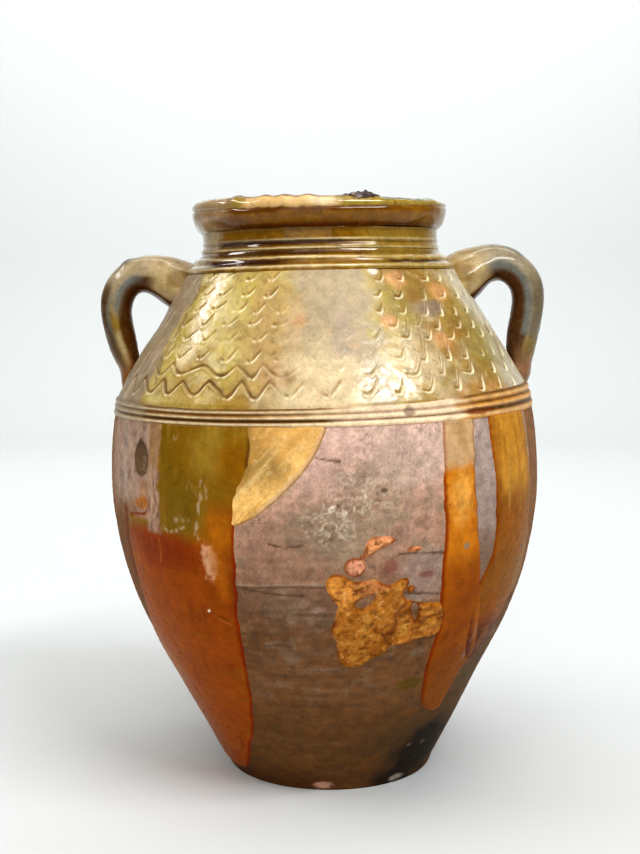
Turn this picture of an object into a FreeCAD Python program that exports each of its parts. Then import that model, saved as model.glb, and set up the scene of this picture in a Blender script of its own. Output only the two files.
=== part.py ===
"""Two-handled glazed terracotta storage jar, built from its thrown, pulled and poured pieces.

Millimetres, +Z up. The origin is the centre of the flat underside of the foot. The front of the jar
faces -Y. Every piece is drawn about the upright throwing axis and then leaned with the whole jar.
"""
import FreeCAD, Part
import math
import os

os.makedirs("parts", exist_ok=True)
Vector = FreeCAD.Vector

# The whole jar
TOTAL_HEIGHT = 450.0
LEAN_DEGREES = 1.2

# Foot and floor
FOOT_R = 84.0
FOOT_EDGE_Z = 4.0
FOOT_ROUND = 3.5
FOOT_TRIM = 3.0
FLOOR_THICKNESS = 14.0
FLOOR_COVE = 12.0

# Lower body: a straight flank runs tangent into the belly's lower arc, whose radius is a share of the
# belly's height over the foot. Here and below, each drop is measured down from the crest of the rim.
BELLY_R = 171.0
BELLY_DROP = 212.0
BELLY_LOWER_ARC_SHARE = 1.1752
BELLY_UPPER_ARC = 320.0
BODY_WALL = 9.0

# Neck and throat
NECK_R = 93.2
NECK_WALL = 11.2
NECK_FOOT_DROP = 37.0
THROAT_FOOT_DROP = 39.0

# Shoulder: a slightly crowned cone from just inside the belly up to just outside the neck
BREAK_DROP = 153.0
SHOULDER_FOOT_IN = 7.5
SHOULDER_FOOT_DROP = 145.0
SHOULDER_TOP_OUT = 10.8
SHOULDER_TOP_DROP = 47.0
SHOULDER_CROWN = 1.2
SHOULDER_WALL = 8.5

# Rim: underside flare, upright face, crease and round top
RIM_OVERHANG = 7.8
RIM_UNDER_DROP = 22.0
RIM_FACE_LOW_DROP = 10.0
RIM_CREASE_DROP = 6.5
RIM_CREST_IN = 9.0
RIM_INNER_DROP = 6.0
RIM_FLARE_BULGE = 0.8
RIM_TOP_BULGE = 3.0

# Luted seams, each a V groove in the lower piece and a V tongue on the upper one
BODY_SEAM_DROP = 154.0
NECK_SEAM_DROP = 42.0
RIM_SEAM_DROP = 20.5
SEAM_HALF_WIDTH = 2.0
SEAM_DEPTH = 3.0

# Cordons: tooled ridges over the two body seams
BELLY_BAND_LOW_DROP = 160.7
BELLY_BAND_RIDGES = 3
BELLY_BAND_PITCH = 4.7
BELLY_BAND_HEIGHT = 1.3
NECK_BAND_LOW_DROP = 52.7
NECK_BAND_RIDGES = 3
NECK_BAND_PITCH = 7.2
NECK_BAND_HEIGHT = 1.3
GROOVE_HEIGHT = 0.2
BAND_BED = 3.0

# Combed waves on the shoulder: each row's drop, its swing to either side, the waves round the jar and
# the direction of one trough in degrees from the front towards +X. A wave climbs more steeply than it falls.
WAVE_ROWS = (
    (56.8, 2.6, 35, 22.1),
    (68.4, 3.2, 38, 1.0),
    (79.0, 3.3, 44, -46.5),
    (89.0, 3.4, 40, -23.0),
    (98.4, 3.6, 41, -36.8),
    (110.6, 4.1, 44, -36.1),
    (122.2, 5.3, 34, -19.7),
    (134.2, 6.2, 40, -43.6),
)
WAVE_CLIMB_SHARE = 0.4
WAVE_GROOVE_DEPTH = 0.9
WAVE_GROOVE_HALF_WIDTH = 1.5
WAVE_CUTTER_CLEARANCE = 0.35

# Handles: stations of the strap as (out, up, thickness, breadth). The upper stations are measured from
# the root on the shoulder, the lower ones from the tail on top of the belly band. They are drawn for a
# root that stands this far (out, up) from the tail, and follow the root and the tail where those move.
HANDLE_ROOT_DROP = 17.0
HANDLE_SPAN = (-49.0, 82.6)
HANDLE_ROLL_DEGREES = 12.0
LEFT_UPPER_STATIONS = (
    (-12.0, -1.5, 40.0, 66.0),
    (4.5, 7.5, 36.0, 57.0),
    (14.0, 11.3, 32.5, 46.0),
    (28.5, 13.0, 29.0, 37.0),
    (39.1, 8.8, 26.7, 35.0),
    (48.4, -5.0, 26.0, 34.0),
    (50.0, -18.0, 24.6, 33.0),
)
LEFT_LOWER_STATIONS = (
    (-1.7, 46.7, 23.5, 32.0),
    (-4.5, 35.7, 21.8, 31.0),
    (-8.4, 18.7, 17.0, 31.0),
    (-5.6, -2.0, 12.5, 34.0),
)
RIGHT_UPPER_STATIONS = (
    (-12.0, -2.0, 40.0, 68.0),
    (4.5, 10.0, 36.5, 58.0),
    (14.0, 14.5, 31.0, 48.0),
    (28.5, 16.6, 29.0, 38.0),
    (39.2, 12.1, 26.5, 36.0),
    (49.9, -1.5, 26.2, 35.5),
    (51.6, -13.5, 25.8, 35.0),
)
RIGHT_LOWER_STATIONS = (
    (0.1, 49.7, 25.5, 34.5),
    (-2.6, 37.2, 24.4, 33.0),
    (-4.3, 18.2, 20.3, 32.0),
    (-3.5, -2.0, 14.5, 34.0),
)
HANDLES = {
    "left_handle": (-1, LEFT_UPPER_STATIONS, LEFT_LOWER_STATIONS),
    "right_handle": (1, RIGHT_UPPER_STATIONS, RIGHT_LOWER_STATIONS),
}

# Glaze that stands proud of the clay, and the gap that the wiped foot leaves under the longest run
GLAZE_RUN_THICKNESS = 1.2
GLAZE_TONGUE_THICKNESS = 0.9
GLAZE_SPLASH_THICKNESS = 1.6
GLAZE_FOOT_GAP = 6.0

# Each run: the direction that its outline is seen square-on from, in degrees from the front towards
# +X, its thickness, and its outline as (across, above the foot). None stands for the belly band.
TOP = None
LEFT_RUN = (
    (-8, TOP), (-8, 240), (-26, 231), (-55, 222), (-50, 185), (-52, 125), (-59, 70), (-54, 20),
    (-42, GLAZE_FOOT_GAP), (0, GLAZE_FOOT_GAP), (19, 52), (40, 109), (55, 182), (60, 236),
    (71, 262), (68, TOP),
)
TONGUE = (
    (-40, TOP), (-40, 222), (-31, 223), (-19, 229), (-6, 239), (7, 250), (17, 261), (25, 272), (31, TOP),
)
RIGHT_RUN = (
    (-18, TOP), (-20, 235), (-17, 170), (-11, 135), (-12, 105), (-3, 76), (20, 59), (27, 84),
    (41, 112), (22, 170), (8, 225), (10, TOP),
)
FAR_RIGHT_RUN = (
    (-33, TOP), (-30, 225), (-26, 178), (-34, 165), (-8, 112), (3, 106), (18, 143), (35, 184),
    (28, 225), (23, TOP),
)
SPLASH = (
    (-43, 178), (-40, 189), (-30, 188), (-26, 199), (-15, 197), (-7, 182), (0, 171), (33, 161),
    (43, 150), (43, 137), (36, 130), (2, 128), (-6, 118), (-28, 115), (-37, 145), (-36, 168),
)
BACK_LEFT_RUN = (
    (-46, TOP), (-42, 215), (-35, 150), (-22, 96), (-6, 72), (8, 86), (20, 150), (38, 205), (44, TOP),
)
BACK_RIGHT_RUN = (
    (-22, TOP), (-24, 210), (-16, 150), (-4, 124), (9, 140), (17, 205), (22, TOP),
)
GLAZE_RUNS = {
    "glaze_run_left": (-42, GLAZE_RUN_THICKNESS, LEFT_RUN),
    "glaze_tongue": (-10, GLAZE_TONGUE_THICKNESS, TONGUE),
    "glaze_run_right": (36, GLAZE_RUN_THICKNESS, RIGHT_RUN),
    "glaze_run_far_right": (56, GLAZE_RUN_THICKNESS, FAR_RIGHT_RUN),
    "glaze_splash": (15, GLAZE_SPLASH_THICKNESS, SPLASH),
    "glaze_run_back_left": (-150, GLAZE_RUN_THICKNESS, BACK_LEFT_RUN),
    "glaze_run_back_right": (135, GLAZE_RUN_THICKNESS, BACK_RIGHT_RUN),
}

# Slag fused to the front of the rim, between two directions in degrees from the front towards +X
SLAG_FROM_DEGREES = 10.5
SLAG_TO_DEGREES = 28.0
SLAG_HALF_WIDTH = 6.0
SLAG_HEIGHT = 3.2
SLAG_BED = 4.0

# Radii and heights that follow from the sizes above
THROAT_R = NECK_R - NECK_WALL
RIM_R = NECK_R + RIM_OVERHANG
RIM_CREST_R = RIM_R - RIM_CREST_IN
SHOULDER_FOOT_R = BELLY_R - SHOULDER_FOOT_IN
BELLY_Z = TOTAL_HEIGHT - BELLY_DROP
BELLY_LOWER_ARC = BELLY_LOWER_ARC_SHARE * (BELLY_Z - FOOT_EDGE_Z)
BREAK_Z = TOTAL_HEIGHT - BREAK_DROP
SHOULDER_FOOT_Z = TOTAL_HEIGHT - SHOULDER_FOOT_DROP
SHOULDER_TOP_R = NECK_R + SHOULDER_TOP_OUT
SHOULDER_TOP_Z = TOTAL_HEIGHT - SHOULDER_TOP_DROP
NECK_FOOT_Z = TOTAL_HEIGHT - NECK_FOOT_DROP
THROAT_FOOT_Z = TOTAL_HEIGHT - THROAT_FOOT_DROP
RIM_UNDER_Z = TOTAL_HEIGHT - RIM_UNDER_DROP
RIM_FACE_LOW_Z = TOTAL_HEIGHT - RIM_FACE_LOW_DROP
RIM_CREASE_Z = TOTAL_HEIGHT - RIM_CREASE_DROP
BODY_SEAM_Z = TOTAL_HEIGHT - BODY_SEAM_DROP
NECK_SEAM_Z = TOTAL_HEIGHT - NECK_SEAM_DROP
RIM_SEAM_Z = TOTAL_HEIGHT - RIM_SEAM_DROP
BELLY_BAND_LOW_Z = TOTAL_HEIGHT - BELLY_BAND_LOW_DROP
NECK_BAND_LOW_Z = TOTAL_HEIGHT - NECK_BAND_LOW_DROP

# Far enough out to clear every piece
CLEAR = 400.0


def point(radius, height):
    return Vector(radius, 0, height)


def line(start, end):
    return Part.LineSegment(start, end).toShape()


def lines(points):
    return [line(start, end) for start, end in zip(points, points[1:])]


def arc(start, middle, end):
    return Part.Arc(start, middle, end).toShape()


def bulged(start, end, bulge):
    """An arc from start to end whose middle stands off the chord, to the right of its direction."""
    chord = end - start
    right = Vector(chord.z, 0, -chord.x).normalize()
    return arc(start, (start + end) / 2 + right * bulge, end)


def turned(edges, degrees=360):
    """Turn a closed outline about the throwing axis."""
    return Part.Face(Part.Wire(edges)).revolve(Vector(), Vector(0, 0, 1), degrees)


def on_circle(centre, radius, angle):
    return centre + point(radius * math.cos(angle), radius * math.sin(angle))


# The wall's curves. An inset moves a curve towards the axis by that much, square to itself.

def body_curve(inset):
    """The flank and the belly's two arcs, from the foot up to the break."""
    low_centre = point(BELLY_R - BELLY_LOWER_ARC, BELLY_Z)
    high_centre = point(BELLY_R - BELLY_UPPER_ARC, BELLY_Z)
    foot = point(FOOT_R, FOOT_EDGE_Z)
    reach = foot - low_centre
    tangent = math.atan2(reach.z, reach.x) + math.acos(BELLY_LOWER_ARC / reach.Length)
    top = math.asin((BREAK_Z - BELLY_Z) / BELLY_UPPER_ARC)
    low_radius = BELLY_LOWER_ARC - inset
    high_radius = BELLY_UPPER_ARC - inset
    foot = on_circle(foot, -inset, tangent)
    flank_top = on_circle(low_centre, low_radius, tangent)
    belly = on_circle(low_centre, low_radius, 0)
    return [
        line(foot, flank_top),
        arc(flank_top, on_circle(low_centre, low_radius, tangent / 2), belly),
        arc(belly, on_circle(high_centre, high_radius, top / 2), on_circle(high_centre, high_radius, top)),
    ]


def shoulder_curve(inset):
    """The crowned cone of the shoulder."""
    foot = point(SHOULDER_FOOT_R, SHOULDER_FOOT_Z)
    top = point(SHOULDER_TOP_R, SHOULDER_TOP_Z)
    rise = top - foot
    inwards = Vector(-rise.z, 0, rise.x).normalize() * inset
    return bulged(foot + inwards, top + inwards, SHOULDER_CROWN)


def start_of(edge):
    return edge.valueAt(edge.FirstParameter)


def end_of(edge):
    return edge.valueAt(edge.LastParameter)


def outer_curve():
    """The jar's outside without its cordons, from the trimmed underside to the crest of the rim."""
    body = body_curve(0)
    shoulder = shoulder_curve(0)
    heel = point(FOOT_R - FOOT_ROUND, -FOOT_TRIM)
    face_low = point(RIM_R, RIM_FACE_LOW_Z)
    crease = point(RIM_R, RIM_CREASE_Z)
    crest = point(RIM_CREST_R, TOTAL_HEIGHT)
    neck_top = point(NECK_R, RIM_UNDER_Z)
    return [
        line(point(0, -FOOT_TRIM), heel),
        bulged(heel, start_of(body[0]), FOOT_ROUND / 4),
        *body,
        line(end_of(body[-1]), start_of(shoulder)),
        shoulder,
        *lines([end_of(shoulder), point(NECK_R, NECK_FOOT_Z), neck_top]),
        bulged(neck_top, face_low, RIM_FLARE_BULGE),
        line(face_low, crease),
        bulged(crease, crest, RIM_TOP_BULGE),
    ]


def cavity_curve():
    """The inside, from the middle of the floor to the crest of the rim."""
    body = body_curve(BODY_WALL)
    shoulder = shoulder_curve(SHOULDER_WALL)
    foot = start_of(body[0])
    flank_top = end_of(body[0])
    up_flank = (flank_top - foot).normalize()
    corner = foot + up_flank * ((FLOOR_THICKNESS - foot.z) / up_flank.z)
    cove_top = corner + up_flank * FLOOR_COVE
    throat_top = point(THROAT_R, TOTAL_HEIGHT - RIM_INNER_DROP)
    return [
        *lines([point(0, FLOOR_THICKNESS), corner - point(FLOOR_COVE, 0), cove_top, flank_top]),
        *body[1:],
        line(end_of(body[-1]), start_of(shoulder)),
        shoulder,
        *lines([end_of(shoulder), point(THROAT_R, THROAT_FOOT_Z), throat_top]),
        bulged(throat_top, point(RIM_CREST_R, TOTAL_HEIGHT), -RIM_TOP_BULGE / 2),
    ]


def filled(curve, head_room=0.0):
    """The solid between a curve and the axis, with some height added over its top end."""
    start = start_of(curve[0])
    end = end_of(curve[-1])
    top = end + point(0, head_room)
    closing = [top, point(0, top.z), start]
    return turned(curve + lines(([end] if head_room else []) + closing))


OUTER_CURVE = outer_curve()


def wall_radius(height):
    """The outside radius of the jar at a height."""
    level = line(point(1, height), point(CLEAR, height))
    return Part.Wire(OUTER_CURVE).distToShape(level)[1][0][0].x


def below_seam(height, wall):
    """All the space under a seam, whose face dips into a V groove at the middle of the wall."""
    middle = wall_radius(height) - wall / 2
    floor = -CLEAR
    return turned(lines([
        point(0, floor),
        point(CLEAR, floor),
        point(CLEAR, height),
        point(middle + SEAM_HALF_WIDTH, height),
        point(middle, height - SEAM_DEPTH),
        point(middle - SEAM_HALF_WIDTH, height),
        point(0, height),
        point(0, floor),
    ]))


def thrown_pieces(jar):
    """The clay wall, parted at its three seams from the foot upwards."""
    seams = [
        below_seam(BODY_SEAM_Z, BODY_WALL),
        below_seam(NECK_SEAM_Z, NECK_WALL),
        below_seam(RIM_SEAM_Z, NECK_WALL),
    ]
    pieces = {}
    for name, seam in zip(("lower_body", "shoulder", "neck"), seams):
        pieces[name] = jar.common(seam)
        jar = jar.cut(seam)
    pieces["rim"] = jar
    return pieces


def cordon(low, ridges, pitch, height):
    """A band of tooled ridges, bedded a little way into the wall."""
    top = low + ridges * pitch
    edges = []
    for ridge in range(ridges):
        foot = low + ridge * pitch
        crest = foot + pitch / 2
        head = foot + pitch
        edges.append(arc(
            point(wall_radius(foot) + GROOVE_HEIGHT, foot),
            point(wall_radius(crest) + height, crest),
            point(wall_radius(head) + GROOVE_HEIGHT, head),
        ))
    bed = [point(wall_radius(z) - BAND_BED, z) for z in (top, (top + low) / 2, low)]
    return turned(edges + lines([end_of(edges[-1]), *bed, start_of(edges[0])]))


def wave_corners(row, side, out):
    """The crests and troughs of a row, moved across the wave by side and out from the shoulder by out."""
    drop, swing, count, trough = row
    height = TOTAL_HEIGHT - drop
    radius = wall_radius(height)
    rise = Vector(SHOULDER_TOP_R - SHOULDER_FOOT_R, 0, SHOULDER_TOP_Z - SHOULDER_FOOT_Z).normalize()
    outwards = Vector(rise.z, 0, -rise.x)
    pitch = math.tau * radius / count
    slant = 2 * swing / rise.z
    climb = Vector(WAVE_CLIMB_SHARE * pitch, slant, 0).normalize()
    fall = Vector((1 - WAVE_CLIMB_SHARE) * pitch, -slant, 0).normalize()
    mitre = Vector(-climb.y - fall.y, climb.x + fall.x, 0) / (1 + climb.dot(fall)) * side
    ends = []
    for level, share in ((height - swing, 0.0), (height + swing, WAVE_CLIMB_SHARE)):
        at = level + mitre.y * rise.z
        ends.append((point(wall_radius(at), at) + outwards * out, share))
    corners = []
    for wave in range(count):
        for corner, share in ends:
            angle = math.radians(trough) + math.tau * (wave + share) / count + mitre.x / radius
            corners.append(Vector(corner.x * math.sin(angle), -corner.x * math.cos(angle), corner.z))
    return corners


def wave_cutter(row):
    """A ring of V section that zigzags round the shoulder, its edge at the bottom of the groove."""
    flare = WAVE_GROOVE_HALF_WIDTH * (1 + WAVE_CUTTER_CLEARANCE / WAVE_GROOVE_DEPTH)
    rings = [
        wave_corners(row, 0, -WAVE_GROOVE_DEPTH),
        wave_corners(row, flare, WAVE_CUTTER_CLEARANCE),
        wave_corners(row, -flare, WAVE_CUTTER_CLEARANCE),
    ]
    faces = []
    for one, other in zip(rings, rings[1:] + rings[:1]):
        for k in range(len(one)):
            corners = [one[k - 1], one[k], other[k], other[k - 1]]
            for facet in (corners[:3], [corners[0]] + corners[2:]):
                faces.append(Part.Face(Part.makePolygon(facet + facet[:1])))
    cutter = Part.Solid(Part.makeShell(faces))
    if cutter.Volume < 0:
        cutter.reverse()
    return cutter


def placed(origin, stations, fit):
    """Stations set out from a point, turned and scaled together by a complex number."""
    rows = []
    for out, up, thickness, breadth in stations:
        offset = complex(out, up) * fit
        rows.append((origin + point(offset.real, offset.imag), thickness * abs(fit), breadth * abs(fit)))
    return rows


def handle_stations(upper, lower):
    """Centre, thickness and breadth of the strap from its buried root to its smeared tail."""
    root_z = SHOULDER_TOP_Z - HANDLE_ROOT_DROP
    band_top = BELLY_BAND_LOW_Z + BELLY_BAND_RIDGES * BELLY_BAND_PITCH
    root = point(wall_radius(root_z), root_z)
    tail = point(wall_radius(band_top), band_top)
    fit = complex(root.x - tail.x, root.z - tail.z) / complex(*HANDLE_SPAN)
    return placed(root, upper, fit) + placed(tail, lower, fit)


def oval(centre, direction, thickness, breadth):
    """One section of the strap, square to its direction and rolled so that its front edge is high."""
    across = Vector(0, 1, 0)
    through = across.cross(direction).normalize()
    roll = FreeCAD.Rotation(direction, HANDLE_ROLL_DEGREES)
    major = roll.multVec(across) * breadth / 2
    minor = roll.multVec(through) * thickness / 2
    return Part.Wire(Part.Ellipse(centre + major, centre + minor, centre).toShape())


def strap(stations):
    """A smooth loft through a section at each station, square to a smooth route."""
    lengths = [0.0]
    for before, after in zip(stations, stations[1:]):
        lengths.append(lengths[-1] + (after[0] - before[0]).Length)
    route = Part.BSplineCurve()
    route.interpolate(Points=[station[0] for station in stations], Parameters=lengths)
    sections = []
    for (centre, thickness, breadth), at in zip(stations, lengths):
        sections.append(oval(centre, route.tangent(at)[0], thickness, breadth))
    return Part.makeLoft(sections, True)


def handle(side, upper, lower):
    """A handle on the +X side, or its mirror image on the -X side."""
    body = strap(handle_stations(upper, lower))
    if side < 0:
        body = body.mirror(Vector(), Vector(1, 0, 0))
    return body


def glaze_coat(thickness):
    """A coat of even thickness on the whole lower body, up to the underside of the belly band."""
    clay = body_curve(0)
    face = body_curve(-thickness)
    coat = turned(
        face
        + [line(end_of(face[-1]), end_of(clay[-1]))]
        + clay[::-1]
        + [line(start_of(clay[0]), start_of(face[0]))]
    )
    return coat.common(Part.makeCylinder(CLEAR, BELLY_BAND_LOW_Z))


def glaze_run(facing, thickness, outline):
    """The part of a coat that lies inside an outline, seen square-on from the facing direction."""
    corners = [Vector(across, 0, CLEAR if up is TOP else up) for across, up in outline]
    window = Part.Face(Part.Wire(lines(corners + corners[:1]))).extrude(Vector(0, -CLEAR, 0))
    window.rotate(Vector(), Vector(0, 0, 1), facing)
    return glaze_coat(thickness).common(window)


def rim_slag():
    """A low lump along the crest of the rim."""
    inner = point(RIM_CREST_R - SLAG_HALF_WIDTH, TOTAL_HEIGHT - SLAG_BED)
    outer = point(RIM_CREST_R + SLAG_HALF_WIDTH, TOTAL_HEIGHT - SLAG_BED)
    crest = point(RIM_CREST_R, TOTAL_HEIGHT + SLAG_HEIGHT)
    lump = turned([arc(outer, crest, inner), line(inner, outer)], SLAG_TO_DEGREES - SLAG_FROM_DEGREES)
    lump.rotate(Vector(), Vector(0, 0, 1), SLAG_FROM_DEGREES - 90)
    return lump


def leaned(shape):
    shape.rotate(Vector(), Vector(0, 1, 0), -LEAN_DEGREES)
    return shape


def build():
    """Every piece by name, in the leaning jar's final place."""
    envelope = filled(OUTER_CURVE)
    pieces = thrown_pieces(envelope.cut(filled(cavity_curve(), head_room=SLAG_HEIGHT + SLAG_BED)))
    pieces["belly_band"] = cordon(
        BELLY_BAND_LOW_Z, BELLY_BAND_RIDGES, BELLY_BAND_PITCH, BELLY_BAND_HEIGHT).cut(envelope)
    pieces["neck_band"] = cordon(
        NECK_BAND_LOW_Z, NECK_BAND_RIDGES, NECK_BAND_PITCH, NECK_BAND_HEIGHT).cut(envelope)
    for name, (side, upper, lower) in HANDLES.items():
        whole = handle(side, upper, lower)
        pieces[name] = whole.cut([envelope, pieces["belly_band"], pieces["neck_band"]])
    for name, (facing, thickness, outline) in GLAZE_RUNS.items():
        pieces[name] = glaze_run(facing, thickness, outline)
    pieces["glaze_tongue"] = pieces["glaze_tongue"].cut(pieces["glaze_run_left"])
    pieces["glaze_run_far_right"] = pieces["glaze_run_far_right"].cut(pieces["glaze_run_right"])
    pieces["rim_slag"] = rim_slag().cut(envelope)
    for row in WAVE_ROWS:
        pieces["shoulder"] = pieces["shoulder"].cut(wave_cutter(row))

    ground = Part.makeBox(2 * CLEAR, 2 * CLEAR, CLEAR, Vector(-CLEAR, -CLEAR, -CLEAR))
    for name in pieces:
        pieces[name] = leaned(pieces[name])
    pieces["lower_body"] = pieces["lower_body"].cut(ground)
    return pieces


for node, shape in build().items():
    shape.exportStep("parts/" + node + ".step")
    print(node, "solids", len(shape.Solids), "valid", shape.isValid(), "cm3", round(shape.Volume / 1000, 2))
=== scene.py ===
"""Looks of the two-handled glazed storage jar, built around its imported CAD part.

Lengths are millimetres about the jar's throwing axis, with heights above the middle of the foot.
Directions are degrees round that axis, 0 at the front (-Y), positive towards +X. Each piece is drawn
upright and then leaned, and only then turned into metres.
"""

import itertools
import math

import bpy
import numpy as np
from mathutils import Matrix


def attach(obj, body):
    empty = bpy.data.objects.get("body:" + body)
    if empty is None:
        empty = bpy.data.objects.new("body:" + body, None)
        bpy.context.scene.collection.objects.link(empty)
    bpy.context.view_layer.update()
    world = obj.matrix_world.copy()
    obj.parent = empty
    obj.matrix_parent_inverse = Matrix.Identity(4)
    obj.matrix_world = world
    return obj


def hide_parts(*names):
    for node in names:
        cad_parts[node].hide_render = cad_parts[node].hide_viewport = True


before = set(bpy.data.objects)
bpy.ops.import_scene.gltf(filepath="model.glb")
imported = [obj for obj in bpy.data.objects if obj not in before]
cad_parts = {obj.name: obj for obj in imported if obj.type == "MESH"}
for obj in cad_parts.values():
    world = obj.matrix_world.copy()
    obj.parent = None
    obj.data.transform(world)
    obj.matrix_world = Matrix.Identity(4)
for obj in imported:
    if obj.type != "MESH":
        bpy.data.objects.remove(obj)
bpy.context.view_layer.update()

MM = 0.001
FAR = 1e9
AXIS_R = 1e-3
LEAN = math.radians(1.2)
TOTAL_HEIGHT = 450.0

# Foot, floor and belly
FOOT_R = 84.0
FOOT_EDGE_Z = 4.0
FOOT_ROUND = 3.5
FOOT_TRIM = 3.0
FLOOR_THICKNESS = 14.0
BELLY_R = 171.0
BELLY_Z = 238.0
LOWER_ARC = 275.0
UPPER_ARC = 320.0
FLANK_TOP = (139.7, 110.6)
BREAK_Z = 297.0
BODY_WALL = 9.0
BODY_SEAM_Z = 296.0

# Shoulder, neck and rim
SHOULDER_FOOT = (163.5, 305.0)
SHOULDER_TOP = (104.0, 403.0)
SHOULDER_CROWN = 1.2
SHOULDER_WALL = 8.5
NECK_SEAM_Z = 408.0
NECK_R = 93.2
THROAT_R = 82.0
NECK_FOOT_Z = 413.0
RIM_SEAM_Z = 429.5
RIM_UNDER_Z = 428.0
RIM_FACE_LOW_Z = 440.0
RIM_CREASE_Z = 443.5
RIM_R = 101.0
RIM_CREST_R = 92.0
RIM_INNER_Z = 444.0
NECK_SEAM_R = float(np.interp(NECK_SEAM_Z, (SHOULDER_TOP[1], NECK_FOOT_Z), (SHOULDER_TOP[0], NECK_R)))
NECK_SEAM = (NECK_SEAM_R, NECK_SEAM_Z)
RIM_SEAM = (NECK_R + 0.9, RIM_SEAM_Z)

# How fine the meshes are, and the radii that their steps are measured at
FRONT_STEP = 0.85
FINE_FRONT_STEP = 0.7
BACK_STEP = 2.2
FRONT_HALF_ANGLE = 84.0
MESH_R = 165.0
RUN_MESH_R = 150.0
RUN_MARGIN = 5.0
DEGREE = math.radians(1.0) * 160.0


# Arithmetic helpers

def smooth(value, low, high):
    """0 below low, 1 above high and eased between them."""
    t = np.clip((value - low) / (high - low), 0.0, 1.0)
    return t * t * (3 - 2 * t)


def fade(value, low, high):
    """1 below low, 0 above high and eased between them."""
    return 1 - smooth(value, low, high)


def between(value, low, lower, high, higher):
    """A rise from low to lower and a fall from high to higher."""
    return smooth(value, low, lower) * fade(value, high, higher)


def hump(value, centre, width):
    """A soft rise to 1 at the centre."""
    return np.exp(-((value - centre) / width) ** 2)


def turn(angle):
    """An angle brought between -180 and 180 degrees."""
    return (angle + 180.0) % 360.0 - 180.0


def around(theta, knots):
    """A value that is given at some directions and runs evenly between them."""
    angles, values = zip(*knots)
    return np.interp(theta, angles, values, period=360.0)


def lattice(cell, seed):
    """A fixed random number from 0 to 1 for every whole-number cell."""
    mixed = cell[..., 0] * 374761393 + cell[..., 1] * 668265263 + cell[..., 2] * 1442695041 + seed * 974634777
    mixed = mixed & 0xFFFFFFFF
    mixed = ((mixed ^ (mixed >> 13)) * 1274126177) & 0xFFFFFFFF
    return ((mixed ^ (mixed >> 16)) & 0xFFFFFF) / 0xFFFFFF


def noise(points, size, seed):
    """A smooth random field from -1 to 1, with lumps of about this size."""
    scaled = points / np.asarray(size, float)
    cell = np.floor(scaled).astype(np.int64)
    part = scaled - cell
    part = part * part * (3 - 2 * part)
    total = 0.0
    for corner in itertools.product((0, 1), repeat=3):
        step = np.array(corner)
        weight = np.prod(np.where(step, part, 1 - part), axis=-1)
        total = total + weight * lattice(cell + step, seed)
    return 2 * total - 1


def rough(points, size, seed, octaves=3):
    """Noise at several sizes, each half as large and half as strong as the last."""
    total = 0.0
    strength = 1.0
    size = np.asarray(size, float)
    for octave in range(octaves):
        total = total + strength * noise(points, size, seed + octave)
        size = size / 2
        strength /= 2
    return total / 1.5


# Profiles of the turned pieces, as rows of (radius, height)

def straight(start, end, count):
    t = np.linspace(0, 1, count)[:, None]
    return np.array(start) * (1 - t) + np.array(end) * t


def bulged(start, end, bulge, count):
    """An arc whose middle stands off the chord, to the right of its direction."""
    start = np.array(start, float)
    end = np.array(end, float)
    chord = end - start
    half = np.hypot(*chord) / 2
    right = np.array([chord[1], -chord[0]]) / (2 * half)
    radius = (half ** 2 + bulge ** 2) / (2 * abs(bulge))
    centre = (start + end) / 2 + right * (bulge - math.copysign(radius, bulge))
    first = math.atan2(*(start - centre)[::-1])
    last = math.atan2(*(end - centre)[::-1])
    swing = (last - first + math.pi) % (2 * math.pi) - math.pi
    angles = first + swing * np.linspace(0, 1, count)
    return centre + radius * np.stack([np.cos(angles), np.sin(angles)], axis=1)


def joined(*parts):
    """Profile parts end to end, with the doubled points dropped."""
    rows = np.concatenate(parts)
    keep = np.r_[True, np.hypot(*np.diff(rows, axis=0).T) > 1e-6]
    return rows[keep]


def wall_radius(height):
    """The outside radius of the plain wall, without its cordons."""
    z = np.asarray(height, float)
    flank = FOOT_R + (FLANK_TOP[0] - FOOT_R) * (z - FOOT_EDGE_Z) / (FLANK_TOP[1] - FOOT_EDGE_Z)
    low = BELLY_R - LOWER_ARC + np.sqrt(np.maximum(LOWER_ARC ** 2 - (z - BELLY_Z) ** 2, 0))
    high = BELLY_R - UPPER_ARC + np.sqrt(np.maximum(UPPER_ARC ** 2 - (z - BELLY_Z) ** 2, 0))
    radius = np.where(z < FLANK_TOP[1], flank, np.where(z < BELLY_Z, low, high))
    return np.where(z < BREAK_Z, radius, np.interp(z, SHOULDER_CONE[:, 1], SHOULDER_CONE[:, 0]))


def cone_rows(inset, count):
    """The shoulder's line, or one that lies inside it."""
    rise = np.subtract(SHOULDER_TOP, SHOULDER_FOOT)
    inwards = np.array([-rise[1], rise[0]]) / np.hypot(*rise) * inset
    return bulged(SHOULDER_FOOT + inwards, SHOULDER_TOP + inwards, SHOULDER_CROWN, count)


SHOULDER_CONE = joined(
    [(BELLY_R - UPPER_ARC + math.sqrt(UPPER_ARC ** 2 - (BREAK_Z - BELLY_Z) ** 2), BREAK_Z)],
    cone_rows(0, 40),
    [(NECK_R, NECK_FOOT_Z), (NECK_R, RIM_UNDER_Z), (RIM_R, RIM_FACE_LOW_Z), (RIM_R, RIM_CREASE_Z)],
)


def wall_slope(height):
    """How fast the wall's radius grows with height."""
    return wall_radius(height + 0.5) - wall_radius(height - 0.5)


def on_wall(heights):
    return np.stack([wall_radius(heights), heights], axis=1)


def spot(theta, z, radius):
    """The upright position of a point at a direction, height and radius."""
    angle = np.radians(theta)
    return np.stack(np.broadcast_arrays(radius * np.sin(angle), -radius * np.cos(angle), z), axis=-1)


# The wall's relief, all along the outward normal

def wobble(points):
    """The unevenness of hand throwing."""
    return 0.55 * noise(points, (70, 70, 45), 3) + 0.25 * noise(points, (28, 28, 20), 5)


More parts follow.
